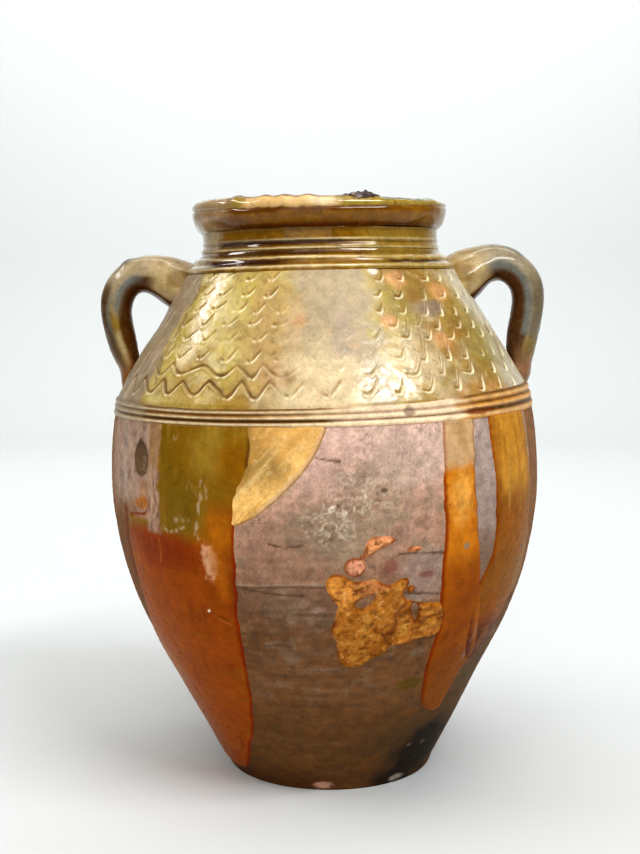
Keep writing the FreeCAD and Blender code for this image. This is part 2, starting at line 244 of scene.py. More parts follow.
def throwing_rings(theta, z, points):
    """Shallow rings that the potter's fingers left."""
    drift = 1.4 * noise(points, (90, 90, 30), 11)
    strength = (0.06 + 0.07 * noise(points, (60, 60, 25), 12)) * (1 - 0.8 * smooth(z, 290, 305))
    return strength * np.sin(2 * math.pi * z / 6.4 + drift + 0.4 * np.sin(np.radians(theta)))


LEFT_DENT = (-92.0, 362.0)
LEDGE_Z = 178.0
PIT = (-52.0, 261.0)


def ledge(theta, points):
    """The ledge's uneven height, and where round the jar it shows."""
    return LEDGE_Z + 1.5 * noise(points, (25, 25, 400), 21), between(theta, -26, -21, 0, 6)


def wall_relief(theta, z, points):
    """Unevenness, rings, the dented left shoulder, and the ledge and the pit of the bare clay."""
    relief = wobble(points) + throwing_rings(theta, z, points)
    relief += 0.10 * noise(points, (6, 6, 5), 14) + 0.06 * noise(points, (2.8, 2.8, 2.8), 15)
    relief -= 3.4 * hump(turn(theta - LEFT_DENT[0]), 0, 30) * hump(z, LEFT_DENT[1], 20)
    ledge_line, ledge_reach = ledge(theta, points)
    relief -= ledge_reach * 0.7 * fade(z, ledge_line - 0.8, ledge_line + 0.8) * smooth(z, 110, 176)
    pit_shape = hump(theta, PIT[0], 2.6) * hump(z, PIT[1], 10)
    relief -= 1.6 * smooth(pit_shape + 0.1 * noise(points, 4, 22), 0.3, 0.75)
    return relief


# Comb-incised waves: mean height at the left and right, swing, waves round the jar, and the direction
# of one trough
WAVE_ROWS = (
    (395.6, 393.0, 2.8, 35, 22.1),
    (383.8, 379.5, 3.0, 38, 1.0),
    (373.0, 368.7, 3.2, 44, -46.5),
    (363.0, 359.0, 3.4, 40, -23.0),
    (352.2, 351.0, 3.6, 41, -36.8),
    (339.9, 338.8, 4.1, 44, -36.1),
    (327.6, 327.4, 3.8, 34, -19.7),
    (315.6, 316.4, 5.2, 40, -43.6),
)
DEEP_ROWS = 6
LOWEST_ROW = 7
CENTRE_FADE = (0.93, 0.93, 0.93, 0.90, 0.80, 0.60, 0.50, 0.10)
WAVE_LEFT = -40.0
WAVE_RIGHT = 45.0
WAVE_RISE = 0.42
WAVE_HOOK = 0.83
GROOVE_DEPTH = 0.85
GROOVE_WIDTH = 0.85
BURR_HEIGHT = 0.45


def wave_line(theta, row, seed):
    """The height of an incised wave with round troughs and pointed crests, and how much it is rising."""
    left, right, swing, count, trough = row
    even_mean = (left + right) / 2
    mean = np.interp(theta, (-180, WAVE_LEFT, WAVE_RIGHT, 180), (even_mean, left, right, even_mean))
    ring = spot(theta, 0.0, 100.0)
    hand = 0.18 * noise(ring, 22.0, seed) + 0.13 * noise(ring, 9.0, seed + 1)
    phase = (((theta - trough) * count / 360.0) + hand) % 1.0
    rise = WAVE_RISE - 0.10 * between(theta, 8, 35, 90, 130)
    even = np.where(phase < rise, 0.5 * phase / rise, 0.5 + 0.5 * (phase - rise) / (1 - rise))
    climb = 0.5 * (1 - 2 * np.abs(np.cos(math.pi * even)) ** 1.15) - 0.5 * np.cos(2 * math.pi * even)
    side = between(theta, 5, 25, 90, 130)
    size = swing * (1 + 0.28 * noise(ring, 13.0, seed + 2)) * (1 + 0.25 * side)
    rising = smooth(phase, 0.02 - 0.12 * side, 0.12 - 0.11 * side)
    rising = rising * fade(phase, (0.75 - 0.25 * side) * rise, (1 - 0.1 * side) * rise)
    rising = np.maximum(rising, (0.85 + 0.15 * side) * smooth(phase, WAVE_HOOK, WAVE_HOOK + 0.08))
    return mean + 1.4 * noise(ring, 30.0, seed + 3) + size * climb, rising


def combing(theta, z, points):
    """The relief of the combed waves, with masks of the painted shade in their grooves and of the painted
    highlight on the burrs beside them.
    """
    relief = np.zeros_like(z)
    groove_shade = np.zeros_like(z)
    burr_highlight = np.zeros_like(z)
    radius = wall_radius(z)
    centre = fade(np.abs(theta - 2), 11, 19)
    for index, row in enumerate(WAVE_ROWS):
        seed = 100 + 10 * index
        line, rising = wave_line(theta, row, seed)
        ahead, _ = wave_line(theta + 0.2, row, seed)
        slope = (ahead - line) / (np.radians(0.2) * radius)
        away = (z - line) / np.sqrt(1 + slope ** 2)
        deep = index >= DEEP_ROWS
        leftward = between(theta, -175, -140, -12.5, -11.5)
        falling = 0.10 + (0.8 if deep else -0.04) * leftward
        force = rising + (1 - rising) * falling
        force = force * np.clip(1 + 0.8 * noise(points, (9, 9, 14), seed + 4), 0.1, 1.6)
        faded = CENTRE_FADE[index]
        worn = (0.35 if index == LOWEST_ROW else 0.8) * between(theta, -110, -85, -57, -47)
        force = np.clip(force * (1 - faded * centre) * (1 - worn), 0, 1.6)
        fine = 1 - 0.3 * between(theta, 10, 30, 120, 170)
        cut = hump(away, 0, GROOVE_WIDTH * fine)
        ridge = hump(away, -1.65 * fine, 0.8 * fine)
        relief += force * (BURR_HEIGHT * (1.33 * fine - 0.33) * ridge - GROOVE_DEPTH * cut)
        second = 0.15 + 0.85 * between(theta, 15, 32, 90, 130)
        relief -= force * second * 0.4 * hump(away, 2.6, 0.75)
        relief += force * second * 0.2 * hump(away, 1.4, 0.6)
        wide = fine * (0.9 + (0.9 * (1 - rising) if deep else 0.0))
        least = 0.22 + (0.48 * leftward if deep else 0.0)
        shade = np.maximum(force, least * (1 - faded * centre) * (1 - worn))
        teeth = np.maximum(hump(away, 0.6, wide), 0.5 * second * hump(away, 2.8, 0.9))
        # The groove mask is painted shade and the burr mask a painted highlight.
        groove_shade = np.maximum(groove_shade, shade * teeth)
        burr_highlight = np.maximum(burr_highlight, force * (0.25 + 0.75 * rising) * hump(away, -1.5 * fine, 0.8 * fine))
    return relief, groove_shade, burr_highlight


# Mesh making

def columns_round(front_step):
    """Directions all round the jar, closer together on the side that the photo shows."""
    front = 2 * FRONT_HALF_ANGLE
    front_count = int(np.radians(front) * MESH_R / front_step)
    back_count = int(np.radians(360 - front) * MESH_R / BACK_STEP)
    seen = np.linspace(-FRONT_HALF_ANGLE, FRONT_HALF_ANGLE, front_count, endpoint=False)
    unseen = np.linspace(FRONT_HALF_ANGLE, 360 - FRONT_HALF_ANGLE, back_count, endpoint=False)
    return turn(np.concatenate([seen, unseen]))


def turned_grid(rows, theta, closed):
    """Points and outward normals of a turned surface, one row for each profile point."""
    if closed:
        along = np.roll(rows, -1, axis=0) - np.roll(rows, 1, axis=0)
    else:
        along = np.gradient(rows, axis=0)
    across = np.stack([along[:, 1], -along[:, 0]], axis=1)
    across = across / np.maximum(np.hypot(*across.T), 1e-9)[:, None]
    angle = np.radians(theta)
    outward = np.stack([np.sin(angle), -np.cos(angle)], axis=1)
    grids = []
    for values in (rows, across):
        grid = np.empty((len(rows), len(theta), 3))
        grid[..., :2] = values[:, None, :1] * outward[None]
        grid[..., 2] = values[:, 1][:, None]
        grids.append(grid)
    return grids


def grid_faces(count_rows, count_columns, wrap_rows, wrap_columns):
    """Quads over a grid of vertices, wound so that they face outwards on a turned surface."""
    row = np.arange(count_rows if wrap_rows else count_rows - 1)
    column = np.arange(count_columns if wrap_columns else count_columns - 1)
    i, j = np.meshgrid(row, column, indexing="ij")
    low = i * count_columns
    high = (i + 1) % count_rows * count_columns
    j2 = (j + 1) % count_columns
    return np.stack([low + j, low + j2, high + j2, high + j], axis=-1).reshape(-1, 4)


def tube_faces(shape, mirrored):
    """Quads round a tube whose ends lie inside another piece."""
    faces = grid_faces(*shape, False, True)
    return faces[:, ::-1] if mirrored else faces


def leaned(points):
    """Upright millimetres to the leaning jar's metres, with nothing under the ground."""
    x, y, z = np.moveaxis(points, -1, 0)
    out = np.stack([
        x * math.cos(LEAN) - z * math.sin(LEAN),
        y,
        np.maximum(z * math.cos(LEAN) + x * math.sin(LEAN), 0.0),
    ], axis=-1)
    return out * MM


def build(piece, slot, points, faces, paint, gloss):
    """A smooth mesh with paint and gloss on its vertices, put in the place of its CAD node."""
    name = "jar_" + piece
    mesh = bpy.data.meshes.new(name)
    vertices = leaned(points).reshape(-1, 3)
    mesh.from_pydata(vertices.tolist(), [], [tuple(face) for face in faces.tolist()])
    mesh.update()
    mesh.validate()
    colours = np.ones((len(vertices), 4))
    colours[:, :3] = np.clip(paint.reshape(-1, 3), 0.0, 1.0)
    fields = (
        ("paint", "FLOAT_COLOR", "color", colours),
        ("gloss", "FLOAT", "value", np.clip(gloss, 0.0, 1.0)),
    )
    for field, kind, key, values in fields:
        attribute = mesh.attributes.new(field, kind, "POINT")
        attribute.data.foreach_set(key, np.ascontiguousarray(values, np.float32).ravel())
    mesh.shade_smooth()
    mesh.materials.append(MATERIALS[slot])
    thing = bpy.data.objects.new(name, mesh)
    bpy.context.scene.collection.objects.link(thing)
    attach(thing, "root")
    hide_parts(piece)


class Turned:
    """A turned piece as a grid, with each point's direction and even height and the outer points marked."""

    def __init__(self, outer, inner, front_step=FINE_FRONT_STEP, closed=True):
        theta = columns_round(front_step)
        self.rows = joined(outer, inner)
        self.points, self.normal = turned_grid(self.rows, theta, closed)
        self.theta = np.broadcast_to(theta, self.points.shape[:2])
        self.z = self.points[..., 2]
        self.outside = (np.arange(len(self.rows)) < len(outer))[:, None] & np.ones_like(self.z, bool)
        self.faces = grid_faces(len(self.rows), len(theta), closed, True)

    def emboss(self, proud):
        """Move the outer points outwards."""
        self.points = self.points + self.normal * np.where(self.outside, proud, 0.0)[..., None]

    def place(self):
        return self.theta, self.z, self.points

    def build(self, piece, slot, coat):
        build(piece, slot, self.points, self.faces, coat.paint, coat.gloss)


# Painting

def patch(theta, z, centre, half_size, ragged=0.0, edge=0.35):
    """A soft ellipse given by its direction and height and its half sizes in degrees and millimetres."""
    across = turn(theta - centre[0]) / half_size[0]
    up = (z - centre[1]) / half_size[1]
    return fade(np.hypot(across, up) + ragged, 1 - edge, 1 + edge)


class Coat:
    """The paint and gloss of a piece's points. Colours are linear, and each mask runs from 0 to 1."""

    def __init__(self, theta, z, points, colour, gloss=0.9):
        self.theta = theta
        self.z = z
        self.points = points
        self.paint = np.broadcast_to(np.array(colour, float), z.shape + (3,)).copy()
        self.gloss = np.full(z.shape, gloss)

    def clouds(self, size, seed, octaves=3):
        return rough(self.points, size, seed, octaves)

    def patch(self, *ellipse):
        return patch(self.theta, self.z, *ellipse)

    def trail(self, route, half_width, ragged=0.0):
        """1 along a line through some places, given by direction and height, and 0 beyond its half width."""
        places = np.array(route, float) * (DEGREE, 1.0)
        nearest = np.full(self.theta.shape, FAR)
        for start, end in zip(places, places[1:]):
            nearest = np.minimum(nearest, gap_to(self.theta * DEGREE, self.z, start, end))
        return fade(nearest + ragged, 0.4 * half_width, 1.3 * half_width)

    def lay(self, colour, mask):
        """Lay a colour over the paint where the mask says."""
        self.paint += (np.array(colour) - self.paint) * np.clip(mask, 0, 1)[..., None]

    def dab(self, colour, strength, *ellipse):
        """Lay a colour over a patch."""
        self.lay(colour, strength * self.patch(*ellipse))

    def stroke(self, colour, strength, *line):
        """Lay a colour along a trail."""
        self.lay(colour, strength * self.trail(*line))


def gap_to(x, z, start, end):
    """The distance of each point from a straight stretch, all in millimetres."""
    edge = np.subtract(end, start)
    along = np.clip(((x - start[0]) * edge[0] + (z - start[1]) * edge[1]) / max(edge @ edge, 1e-9), 0, 1)
    return np.hypot(x - start[0] - along * edge[0], z - start[1] - along * edge[1])


def rounded(outline, passes=2):
    """A closed outline with its corners cut smooth."""
    corners = np.array(outline, float)
    for _ in range(passes):
        following = np.roll(corners, -1, axis=0)
        cuts = [0.75 * corners + 0.25 * following, 0.25 * corners + 0.75 * following]
        corners = np.stack(cuts, axis=1).reshape(-1, 2)
    return corners


def inside_by(theta, z, outline):
    """How far inside a closed outline of (direction, height) each point is, in millimetres."""
    corners = rounded(outline) * (DEGREE, 1.0)
    x = theta * DEGREE
    nearest = np.full(x.shape, FAR)
    inside = np.zeros(x.shape, bool)
    for start, end in zip(corners, np.roll(corners, -1, axis=0)):
        nearest = np.minimum(nearest, gap_to(x, z, start, end))
        if start[1] != end[1]:
            crossing = (start[1] > z) != (end[1] > z)
            at = start[0] + (z - start[1]) / (end[1] - start[1]) * (end[0] - start[0])
            inside ^= crossing & (x < at)
    return np.where(inside, nearest, -nearest)


# Materials

def ceramic(name, rough_low, rough_high, coat, coat_rough, specular, mottle, speck, light_speck, grain,
            pitting):
    """Fired clay or glaze: painted colour, mottling, dark and light specks, varied gloss and a pitted face.

    rough_low is the roughness where the gloss paint is full and rough_high where it is none.
    """
    material = bpy.data.materials.new(name)
    material.use_nodes = True
    tree = material.node_tree
    shader = tree.nodes["Principled BSDF"]

    def node(kind, inputs, **properties):
        """A new node's outputs. Each of its inputs is a value or another node's output."""
        added = tree.nodes.new("ShaderNode" + kind)
        for key, value in properties.items():
            setattr(added, key, value)
        feed(added, inputs)
        return added.outputs

    def feed(target, inputs):
        for socket, value in inputs.items():
            if isinstance(value, bpy.types.NodeSocket):
                tree.links.new(value, target.inputs[socket])
            else:
                target.inputs[socket].default_value = value

    def painted(attribute, output):
        return node("Attribute", {}, attribute_name=attribute)[output]

    def noise_of(scale, detail, roughness):
        values = {"Vector": place, "Scale": scale, "Detail": detail, "Roughness": roughness}
        return node("TexNoise", values)["Fac"]

    def ranged(value, low, high, to_low, to_high):
        ends = {"From Min": low, "From Max": high, "To Min": to_low, "To Max": to_high}
        return node("MapRange", {"Value": value, **ends})["Result"]

    place = node("TexCoord", {})["Object"]
    broad = noise_of(110.0, 7.0, 0.68)
    fine = noise_of(430.0, 4.0, 0.65)
    shades = (
        ranged(broad, 0.32, 0.68, 1 - mottle, 1 + mottle),
        ranged(fine, 0.36, 0.64, 1 - 0.8 * mottle, 1 + 0.8 * mottle),
        ranged(fine, 0.58, 0.70, 1.0, 1 - speck),
        ranged(fine, 0.30, 0.42, 1 + light_speck, 1.0),
    )
    colour = painted("paint", "Color")
    for shade in shades:
        colour = node("Mix", {0: 1.0, 6: colour, 7: shade}, data_type="RGBA", blend_type="MULTIPLY")[2]
    matte = ranged(painted("gloss", "Fac"), 0.0, 1.0, rough_high, rough_low)
    uneven = ranged(broad, 0.3, 0.7, -0.05, 0.07)
    bumps = {"Strength": pitting, "Distance": 0.0006, "Height": noise_of(grain, 4.0, 0.6)}
    feed(shader, {
        "Base Color": colour,
        "Roughness": node("Math", {0: matte, 1: uneven}, operation="ADD", use_clamp=True)[0],
        "Normal": node("Bump", bumps)["Normal"],
        "Coat Weight": coat,
        "Coat Roughness": coat_rough,
        "Specular IOR Level": specular,
    })
    return material


CERAMICS = (
    ("bare_clay", 0.30, 0.78, 0.0, 0.3, 0.25, 0.24, 0.45, 0.35, 900.0, 0.6),
    ("shoulder_glaze", 0.06, 0.62, 0.15, 0.07, 0.45, 0.18, 0.36, 0.34, 420.0, 0.3),
    ("neck_glaze", 0.22, 0.60, 0.85, 0.07, 0.10, 0.20, 0.42, 0.40, 420.0, 0.25),
    ("band_clay", 0.25, 0.70, 0.2, 0.15, 0.25, 0.20, 0.40, 0.25, 700.0, 0.45),
    ("handle_glaze", 0.22, 0.60, 0.4, 0.12, 0.20, 0.18, 0.40, 0.35, 500.0, 0.3),
    ("amber_glaze", 0.25, 0.70, 0.08, 0.2, 0.06, 0.16, 0.38, 0.30, 500.0, 0.25),
    ("slag", 0.35, 0.85, 0.0, 0.3, 0.4, 0.35, 0.4, 0.6, 900.0, 0.7),
)
MATERIALS = {row[0]: ceramic(*row) for row in CERAMICS}


# The lower body

CLAY_TOP = (0.76, 0.54, 0.45)
CLAY_PINK = (0.60, 0.40, 0.325)
CLAY_GREY = (0.37, 0.28, 0.195)
CLAY_LILAC = (0.39, 0.315, 0.285)
CLAY_MAUVE = (0.56, 0.355, 0.265)
CLAY_MIDDLE = (0.40, 0.235, 0.15)
CLAY_LOW = (0.25, 0.12, 0.045)
CLAY_FOOT = (0.13, 0.05, 0.01)
CLAY_DARK_LINE = (0.15, 0.085, 0.05)
CLAY_OLIVE = (0.13, 0.085, 0.03)
CRACKLE_WHITE = (0.74, 0.64, 0.52)
RED_STAIN = (0.27, 0.10, 0.08)
SIDE_MAUVE = (0.28, 0.13, 0.04)
SOOT = (0.022, 0.013, 0.007)
INSIDE_BROWN = (0.16, 0.075, 0.025)
CLAY_SPECKS = ((26.8, 127.5), (27.6, 113.7), (28.9, 101.6), (30.0, 79.9), (30.3, 73.3), (13.8, 245))
CLAY_CRACKS = (
    ((-2, 269), (0.6, 267.2), (3.5, 266.5)),
    ((17.5, 199.5), (24, 198.5), (30, 196.5)),
    ((18.3, 170.5), (25, 168), (30.8, 165.5)),
    ((-13.5, 209), (-10, 206.5), (-6, 208)),
    ((-22.5, 176), (-12, 171.5), (-6, 171)),
    ((-18, 131), (-13, 132), (-10, 131)),
    ((31, 218), (34, 216), (38, 216.5)),
)


def stained(coat):
    """Cloudy stains, crackle, cracks and streaks over the whole of the bare clay."""
    z, lay, clouds = coat.z, coat.lay, coat.clouds
    cloud = clouds((13, 13, 11), 33)
    lay(CLAY_DARK_LINE, 0.45 * smooth(cloud, 0.15, 0.8))
    lay(CLAY_GREY, 0.65 * smooth(-cloud, 0.1, 0.7) * smooth(z, 60, 140))
    blots = clouds((5, 5, 4), 32)
    lay(CLAY_DARK_LINE, (0.35 + 0.3 * fade(z, 120, 180)) * smooth(blots, 0.1, 0.8))
    lay((0.66, 0.48, 0.40), 0.4 * smooth(-blots, 0.25, 0.8) * smooth(z, 120, 180))
    lay(CLAY_OLIVE, 0.7 * smooth(clouds((24, 24, 12), 30), 0.2, 0.7) * fade(z, 55, 95))
    level = clouds((34, 34, 3.2), 36)
    lay(CLAY_DARK_LINE, 0.65 * smooth(level, 0.05, 0.8) * fade(z, 150, 200))
    lay((0.33, 0.225, 0.16), 0.5 * smooth(-level, 0.1, 0.8) * fade(z, 130, 190))
    vein = np.abs(clouds((6, 6, 5), 37))
    veined = smooth(clouds((22, 22, 22), 38), -0.05, 0.4)
    lay(CLAY_DARK_LINE, 0.55 * veined * fade(vein, 0.02, 0.10))
    dots = clouds((2.6, 2.6, 2.6), 39, 2)
    lay(CRACKLE_WHITE, 0.5 * smooth(dots, 0.75, 1.05) * smooth(z, 30, 120))
    lay(CLAY_DARK_LINE, 0.7 * smooth(-dots, 0.72, 1.0))


def front_marks(coat):
    """The marks that the photo shows on the clay of the front."""
    theta, z = coat.theta, coat.z
    lay, dab, stroke, clouds = coat.lay, coat.dab, coat.stroke, coat.clouds
    uneven = clouds((9, 9, 9), 34)
    dab((0.41, 0.25, 0.175), 0.75, (-11, 200), (9, 24), 0.4 * uneven, 0.5)
    dab(CLAY_PINK, 0.6, (2, 258), (9, 22), 0.4 * uneven, 0.5)
    dab(CLAY_GREY, 0.75, (4, 216), (13, 24), 0.4 * uneven, 0.5)
    dab(CLAY_GREY, 0.6, (13, 250), (8, 22), 0.5 * uneven, 0.5)
    crackled = coat.patch((8, 242), (8, 15), 0.4 * uneven, 0.5)
    crackled = crackled + coat.patch((1, 222), (6, 15), 0.4 * uneven, 0.5)
    crazed = np.abs(clouds((4.5, 4.5, 4.5), 40))
    lay(CRACKLE_WHITE, 0.55 * crackled * fade(crazed, 0.04, 0.16))
    lay(CLAY_DARK_LINE, 0.5 * crackled * smooth(crazed, 0.35, 0.7))
    dab(CLAY_LILAC, 0.8, (42.8, 235), (5.4, 62), 0.15 * uneven)
    dab((0.62, 0.46, 0.38), 0.6, (20, 268), (9, 20), 0.4 * uneven, 0.5)
    dab(CLAY_LILAC, 0.5, (25, 182), (8, 21), 0.2 * uneven, 0.3)
    dab((0.25, 0.15, 0.09), 0.65, (44, 188), (4.5, 24), 0.3 * uneven, 0.5)
    dab(RED_STAIN, 0.75, (15.2, 190.5), (2.0, 5.5), 0.5 * uneven, 0.5)
    dab(RED_STAIN, 0.7, (25.2, 182.3), (2.2, 2.2), 0.4 * uneven)
    dab(RED_STAIN, 0.6, (21.3, 172.3), (1.3, 2.6), 0.3 * uneven)
    dab(CLAY_PINK, 0.8, (-2.4, 160.6), (2.1, 2.6), 0.5 * uneven)
    dab((0.16, 0.095, 0.004), 0.85, (26.8, 93.6), (4.6, 5.2), 0.4 * uneven)
    dab(CLAY_OLIVE, 0.7, (60, 90), (9, 18), 0.4 * uneven, 0.5)
    for place in CLAY_SPECKS:
        dab(CLAY_DARK_LINE, 0.9, place, (0.8, 1.6))
    for route in CLAY_CRACKS:
        stroke(CLAY_DARK_LINE, 0.8, route, 1.0, 0.7 * uneven)
    left = fade(theta + 2.0 * uneven, -52, -46) * smooth(theta, -120, -90)
    lay(SIDE_MAUVE, 0.9 * left * smooth(z, 120, 150))
    lay((0.52, 0.38, 0.30), 0.8 * between(theta, -80, -68, -50, -46) * smooth(z + 8 * uneven, 208, 238))
    lay(CLAY_DARK_LINE, 0.5 * smooth(-clouds((5, 5, 8), 45), 0.2, 0.7) * between(theta, -110, -90, -50, -46))
    stroke((0.50, 0.42, 0.36), 0.5, ((-63, 292), (-62, 262), (-61.5, 235)), 5.0, 3 * uneven)
    lay((0.23, 0.11, 0.05), 0.7 * between(theta, -110, -90, -66, -58) * fade(z, 205, 240))
    stroke((0.22, 0.07, 0.02), 0.75, ((-62.5, 222), (-63.5, 195), (-64.5, 172)), 4.0, 2 * uneven)
    lay(SIDE_MAUVE, 0.8 * between(theta, 64.5, 66.5, 85, 110) * smooth(z, 130, 170))
    dab((0.48, 0.27, 0.15), 0.8, (-50.8, 240), (3.6, 8), 0.4 * uneven)
    dab((0.52, 0.20, 0.03), 0.85, (-52.6, 229.5), (3.6, 5), 0.4 * uneven)
    edge = np.hypot(turn(theta - PIT[0]) / 3.3, (z - PIT[1]) / 13.5)
    edge = edge + 0.16 * uneven + 0.2 * clouds((3, 3, 3), 48)
    lay((0.19, 0.115, 0.06), fade(edge, 0.75, 1.05))
    lay((0.36, 0.25, 0.17), 0.6 * fade(edge, 0.5, 0.8) * smooth(clouds((3, 3, 3), 49), 0.0, 0.6))
    # Painted shadow along the pit's upper lip.
    upper = smooth(z - PIT[1] - 1.2 * turn(theta - PIT[0]), -12, 4)
    lay((0.10, 0.05, 0.02), 0.9 * hump(edge, 0.95, 0.16) * upper)


def paint_lower_body(piece):
    theta, z, points = piece.place()
    coat = Coat(theta, z, points, CLAY_LOW)
    lay, dab, clouds = coat.lay, coat.dab, coat.clouds
    uneven = clouds((26, 26, 16), 31)
    # The clay darkens towards the foot and is lightest high on the front: partly its own tone and partly
    # painted shade and light.
    lay(CLAY_MIDDLE, smooth(z + 10 * uneven, 132, 182))
    lay(CLAY_MAUVE, smooth(z + 12 * uneven, 185, 232))
    lay(CLAY_TOP, smooth(z + 12 * uneven, 232, 268) * fade(np.abs(turn(theta - 16)), 26, 36))
    stained(coat)
    lay((0.15, 0.065, 0.008), 0.6 * fade(z + 14 * uneven, 52, 98))
    lay(CLAY_FOOT, 0.8 * fade(z, 6, 30) * (1 - 0.6 * coat.patch((16, 12), (16, 20), 0, 0.5)))
    front_marks(coat)
    ledge_line, ledge_reach = ledge(theta, points)
    lay(CLAY_DARK_LINE, 0.35 * ledge_reach * fade(z, ledge_line - 2, ledge_line) * smooth(z, 90, 170))
    # Painted shade in the crease under the ledge's step.
    lay(CLAY_DARK_LINE, 0.7 * ledge_reach * hump(z, ledge_line - 0.7, 1.0))
    lay(CRACKLE_WHITE, 0.25 * ledge_reach * hump(z, ledge_line + 0.8, 0.8))
    ragged = 0.3 * clouds(14, 35)
    soot = np.maximum(coat.patch((48, 25), (17, 24), ragged, 0.4), coat.patch((36, 4), (15, 11), ragged, 0.4))
    dab((0.10, 0.06, 0.025), 0.7, (44, 34), (23, 34), 2 * ragged, 0.6)
    lay(SOOT, 0.93 * soot * (1 - 0.35 * smooth(clouds((5, 5, 5), 42), 0.2, 0.9)))
    lay(CLAY_LILAC, 0.35 * (coat.patch((37.5, 33.4), (1.3, 1.6)) + coat.patch((46.9, 32.1), (1.6, 1.6))))
    dab((0.62, 0.36, 0.27), 1.0, (-4, 4.6), (5.2, 3.0), 0.3 * clouds(4, 43))
    dab((0.42, 0.36, 0.29), 0.9, (37.5, 3.5), (4.5, 2.6), 0.5 * clouds(3, 44))
    lay(INSIDE_BROWN, ~piece.outside)
    coat.gloss = np.where(piece.outside, 0.25 * fade(z, 60, 170) + 0.1, 0.8)
    return coat


def lower_body():
    heights = np.linspace(FLANK_TOP[1], BODY_SEAM_Z, 160)
    under = [(AXIS_R, -FOOT_TRIM), (40.0, -FOOT_TRIM), (FOOT_R - FOOT_ROUND - 6, -FOOT_TRIM)]
    heel = bulged((FOOT_R - FOOT_ROUND, -FOOT_TRIM), (FOOT_R, FOOT_EDGE_Z), FOOT_ROUND / 4, 6)
    outer = joined(under, heel, straight((FOOT_R, FOOT_EDGE_Z), FLANK_TOP, 96), on_wall(heights))
    inner_heights = np.array([BODY_SEAM_Z, 270, 238, 205, 170, 135, 100, 70, 45, 27])
    inner_r = wall_radius(inner_heights) - BODY_WALL * np.sqrt(1 + wall_slope(inner_heights) ** 2)
    inner = np.stack([inner_r, inner_heights], axis=1)
    floor_r = inner_r[-1]
    floor = [(floor_r - 12, FLOOR_THICKNESS + 1), (floor_r - 22, FLOOR_THICKNESS), (AXIS_R, FLOOR_THICKNESS)]
    piece = Turned(outer, joined(inner, floor), FRONT_STEP, closed=False)
    piece.emboss(smooth(piece.z, 2, 12) * wall_relief(*piece.place()))
    piece.build("lower_body", "bare_clay", paint_lower_body(piece))


# The shoulder

GREY_BEIGE = (0.36, 0.27, 0.17)
OLIVE_YELLOW = (0.51, 0.385, 0.10)
PALE_YELLOW = (0.68, 0.56, 0.26)
DARK_OLIVE = (0.38, 0.225, 0.02)
CREAM = (0.73, 0.58, 0.35)
CENTRE_BEIGE = (0.47, 0.37, 0.23)
CENTRE_PINK = (0.62, 0.42, 0.24)
LILAC_BEIGE = (0.44, 0.34, 0.24)
RIGHT_OLIVE = (0.40, 0.27, 0.06)
RIGHT_BROWN = (0.36, 0.19, 0.035)
ORANGE = (0.62, 0.33, 0.13)
PURPLE_GREY = (0.32, 0.23, 0.17)
GROOVE_SHADE_BROWN = (0.27, 0.15, 0.03)
WHITE_GLAZE = (0.78, 0.70, 0.60)
# Painted shadows of the wave hooks on the right shoulder: places and half sizes.
HOOK_SHADOWS = (
    ((36, 397), (3, 4)), ((41.5, 391), (3, 4)), ((34, 378), (3, 5)), ((38.5, 356), (4, 4)),
    ((46, 351), (4, 4)),
    ((40, 338), (4, 5)),
)
ORANGE_BITS = (((29, 391), (4, 7)), ((47.5, 381), (5.5, 7)), ((21.5, 360), (3.2, 5)), ((38.8, 346), (4, 6)))


